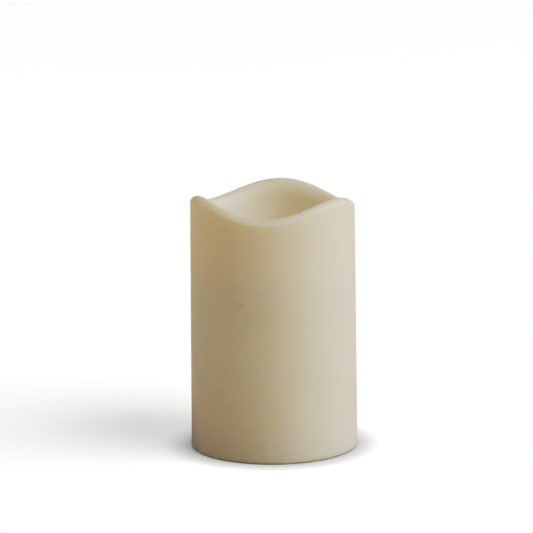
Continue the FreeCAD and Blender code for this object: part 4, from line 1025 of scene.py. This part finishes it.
def floor_card():
    """White card, evenly lit to the camera but for its shadows, with a painted contact shadow at the foot.
    Light that bounces off it is warmer, and dark near the foot as painted shade on the candle's foot.
    """
    g = Graph("floor_card")
    seen = g.seen()
    # Painted shadow: the card and its glow are darker to the camera near the candle's foot.
    shown = openness(g, PAINTED_CONTACT_SHADOW_REACH, PAINTED_CONTACT_SHADOW_LEAST)
    # Painted shade: near the foot the card bounces a dark colour, which shades the candle's foot.
    bounce = g.mix(openness(g, PAINTED_SHADE_BOUNCE_REACH, 0.0), FLOOR_BOUNCE_PAINTED_SHADE, FLOOR_BOUNCE)
    grain = g.noise(3.0, detail=3)
    colour = g.tinted(g.mix(seen, bounce, shown), g.spread(grain, 0.985, 1.0))
    g.set(Base_Color=colour, Roughness=0.9, Specular_IOR_Level=0.1)
    glow = g.math("MULTIPLY", g.math("MULTIPLY", seen, shown), FLOOR_GLOW)
    g.set(Emission_Color=WHITE, Emission_Strength=glow)
    # Clear from underneath, and to light under the candle, so that the foot can be seen from below.
    underneath = g.add("ShaderNodeNewGeometry").outputs["Backfacing"]
    covered = g.math("LESS_THAN", g.from_axis(0, 0), BASE_RADIUS - FOOT_ROUND)
    lit_through = g.math("MULTIPLY", covered, g.math("SUBTRACT", 1.0, seen))
    clear = g.add("ShaderNodeBsdfTransparent").outputs[0]
    inputs = {0: g.math("MAXIMUM", underneath, lit_through), 1: g.shader.outputs[0], 2: clear}
    either = g.add("ShaderNodeMixShader", inputs).outputs[0]
    g.put(g.tree.nodes["Material Output"].inputs["Surface"], either)
    return g.material


def floor():
    half = FLOOR_HALF_SIZE
    corners = [(-half, -half, 0), (half, -half, 0), (half, half, 0), (-half, half, 0)]
    stage_floor = shape_object("floor", (corners, [(0, 1, 2, 3)]))
    stage_floor.data.materials.append(floor_card())


def way_to(azimuth, elevation):
    """A direction. Azimuth is anticlockwise from the camera's own right, seen from above."""
    a, e = math.radians(azimuth + VIEW_AZIMUTH), math.radians(elevation)
    return Vector((math.cos(a) * math.cos(e), math.sin(a) * math.cos(e), math.sin(e)))


def turn_light(made, way):
    made.rotation_mode = "QUATERNION"
    made.rotation_quaternion = way.to_track_quat("Z", "Y")


def key_light():
    """A window of soft light from the front right, far enough away to fall evenly."""
    light = bpy.data.lights.new("key", "SUN")
    light.energy, light.angle, light.color = KEY_STRENGTH, math.radians(KEY_WIDTH), KEY_COLOUR
    turn_light(new_object("key", light), way_to(KEY_AZIMUTH, KEY_ELEVATION))


def softbox(name, azimuth, elevation, watts):
    light = bpy.data.lights.new(name, "AREA")
    light.size, light.energy = SOFTBOX_SIZE * MM, watts
    made = new_object(name, light)
    way = way_to(azimuth, elevation)
    made.location = (Vector((0, 0, SOFTBOX_AIM_Z)) + way * SOFTBOX_DISTANCE) * MM
    turn_light(made, way)


def studio():
    """White walls, brightest at the horizon, which the camera sees as plain white."""
    world = bpy.data.worlds.new("studio")
    g = NodeTree(world)
    way = g.add("ShaderNodeTexCoord").outputs["Generated"]
    up = g.add("ShaderNodeSeparateXYZ", {0: way}).outputs["Z"]
    glow = g.remap(up, 0.0, 1.0, HORIZON_GLOW, ZENITH_GLOW)
    background = g.tree.nodes["Background"].inputs
    g.put(background["Color"], WHITE)
    g.put(background["Strength"], g.math("MAXIMUM", glow, g.math("MULTIPLY", g.seen(), SKY_SHOWN)))
    bpy.context.scene.world = world


def lights():
    key_light()
    for name, (azimuth, elevation, watts) in SOFTBOXES.items():
        softbox(name, azimuth, elevation, watts)
    studio()


def rotation(angle, axis):
    return Matrix.Rotation(math.radians(angle), 4, axis)


def camera():
    """A long lens that looks down on the candle, and turns on its own axes to place it in the frame."""
    data = bpy.data.cameras.new("camera")
    data.lens, data.sensor_width = FOCAL_LENGTH, SENSOR_WIDTH
    data.clip_start, data.clip_end = CLIP_START * MM, CLIP_END * MM
    made = new_object("camera", data)
    aim = Matrix.Translation((0, 0, VIEW_HEIGHT * MM))
    away = Matrix.Translation((0, 0, VIEW_DISTANCE * MM))
    place = rotation(VIEW_AZIMUTH, "Z") @ aim @ rotation(90 - VIEW_ELEVATION, "X") @ away
    own_turns = rotation(VIEW_YAW, "Y") @ rotation(VIEW_PITCH, "X") @ rotation(-VIEW_ROLL, "Z")
    made.matrix_world = place @ own_turns
    bpy.context.scene.camera = made


def film():
    """The response of the film: a firm toe and a long shoulder, in scene-linear light."""
    settings = bpy.context.scene.view_settings
    settings.view_transform = "Standard"
    settings.use_curve_mapping = True
    mapping = settings.curve_mapping
    mapping.white_level = (FILM_WHITE,) * 3
    combined_curve = mapping.curves[3]
    for light, shown in FILM_RESPONSE:
        combined_curve.points.new(light / FILM_WHITE, shown)
    mapping.update()


# ================================================================ the scene
camera()
film()
lights()
floor()
dress_cad_nodes()
candle_shell()
flame()
cap_marks()
cap_grip_ribs()
housing_marks()
board_tracks()
solder_joints()
cover_marks()
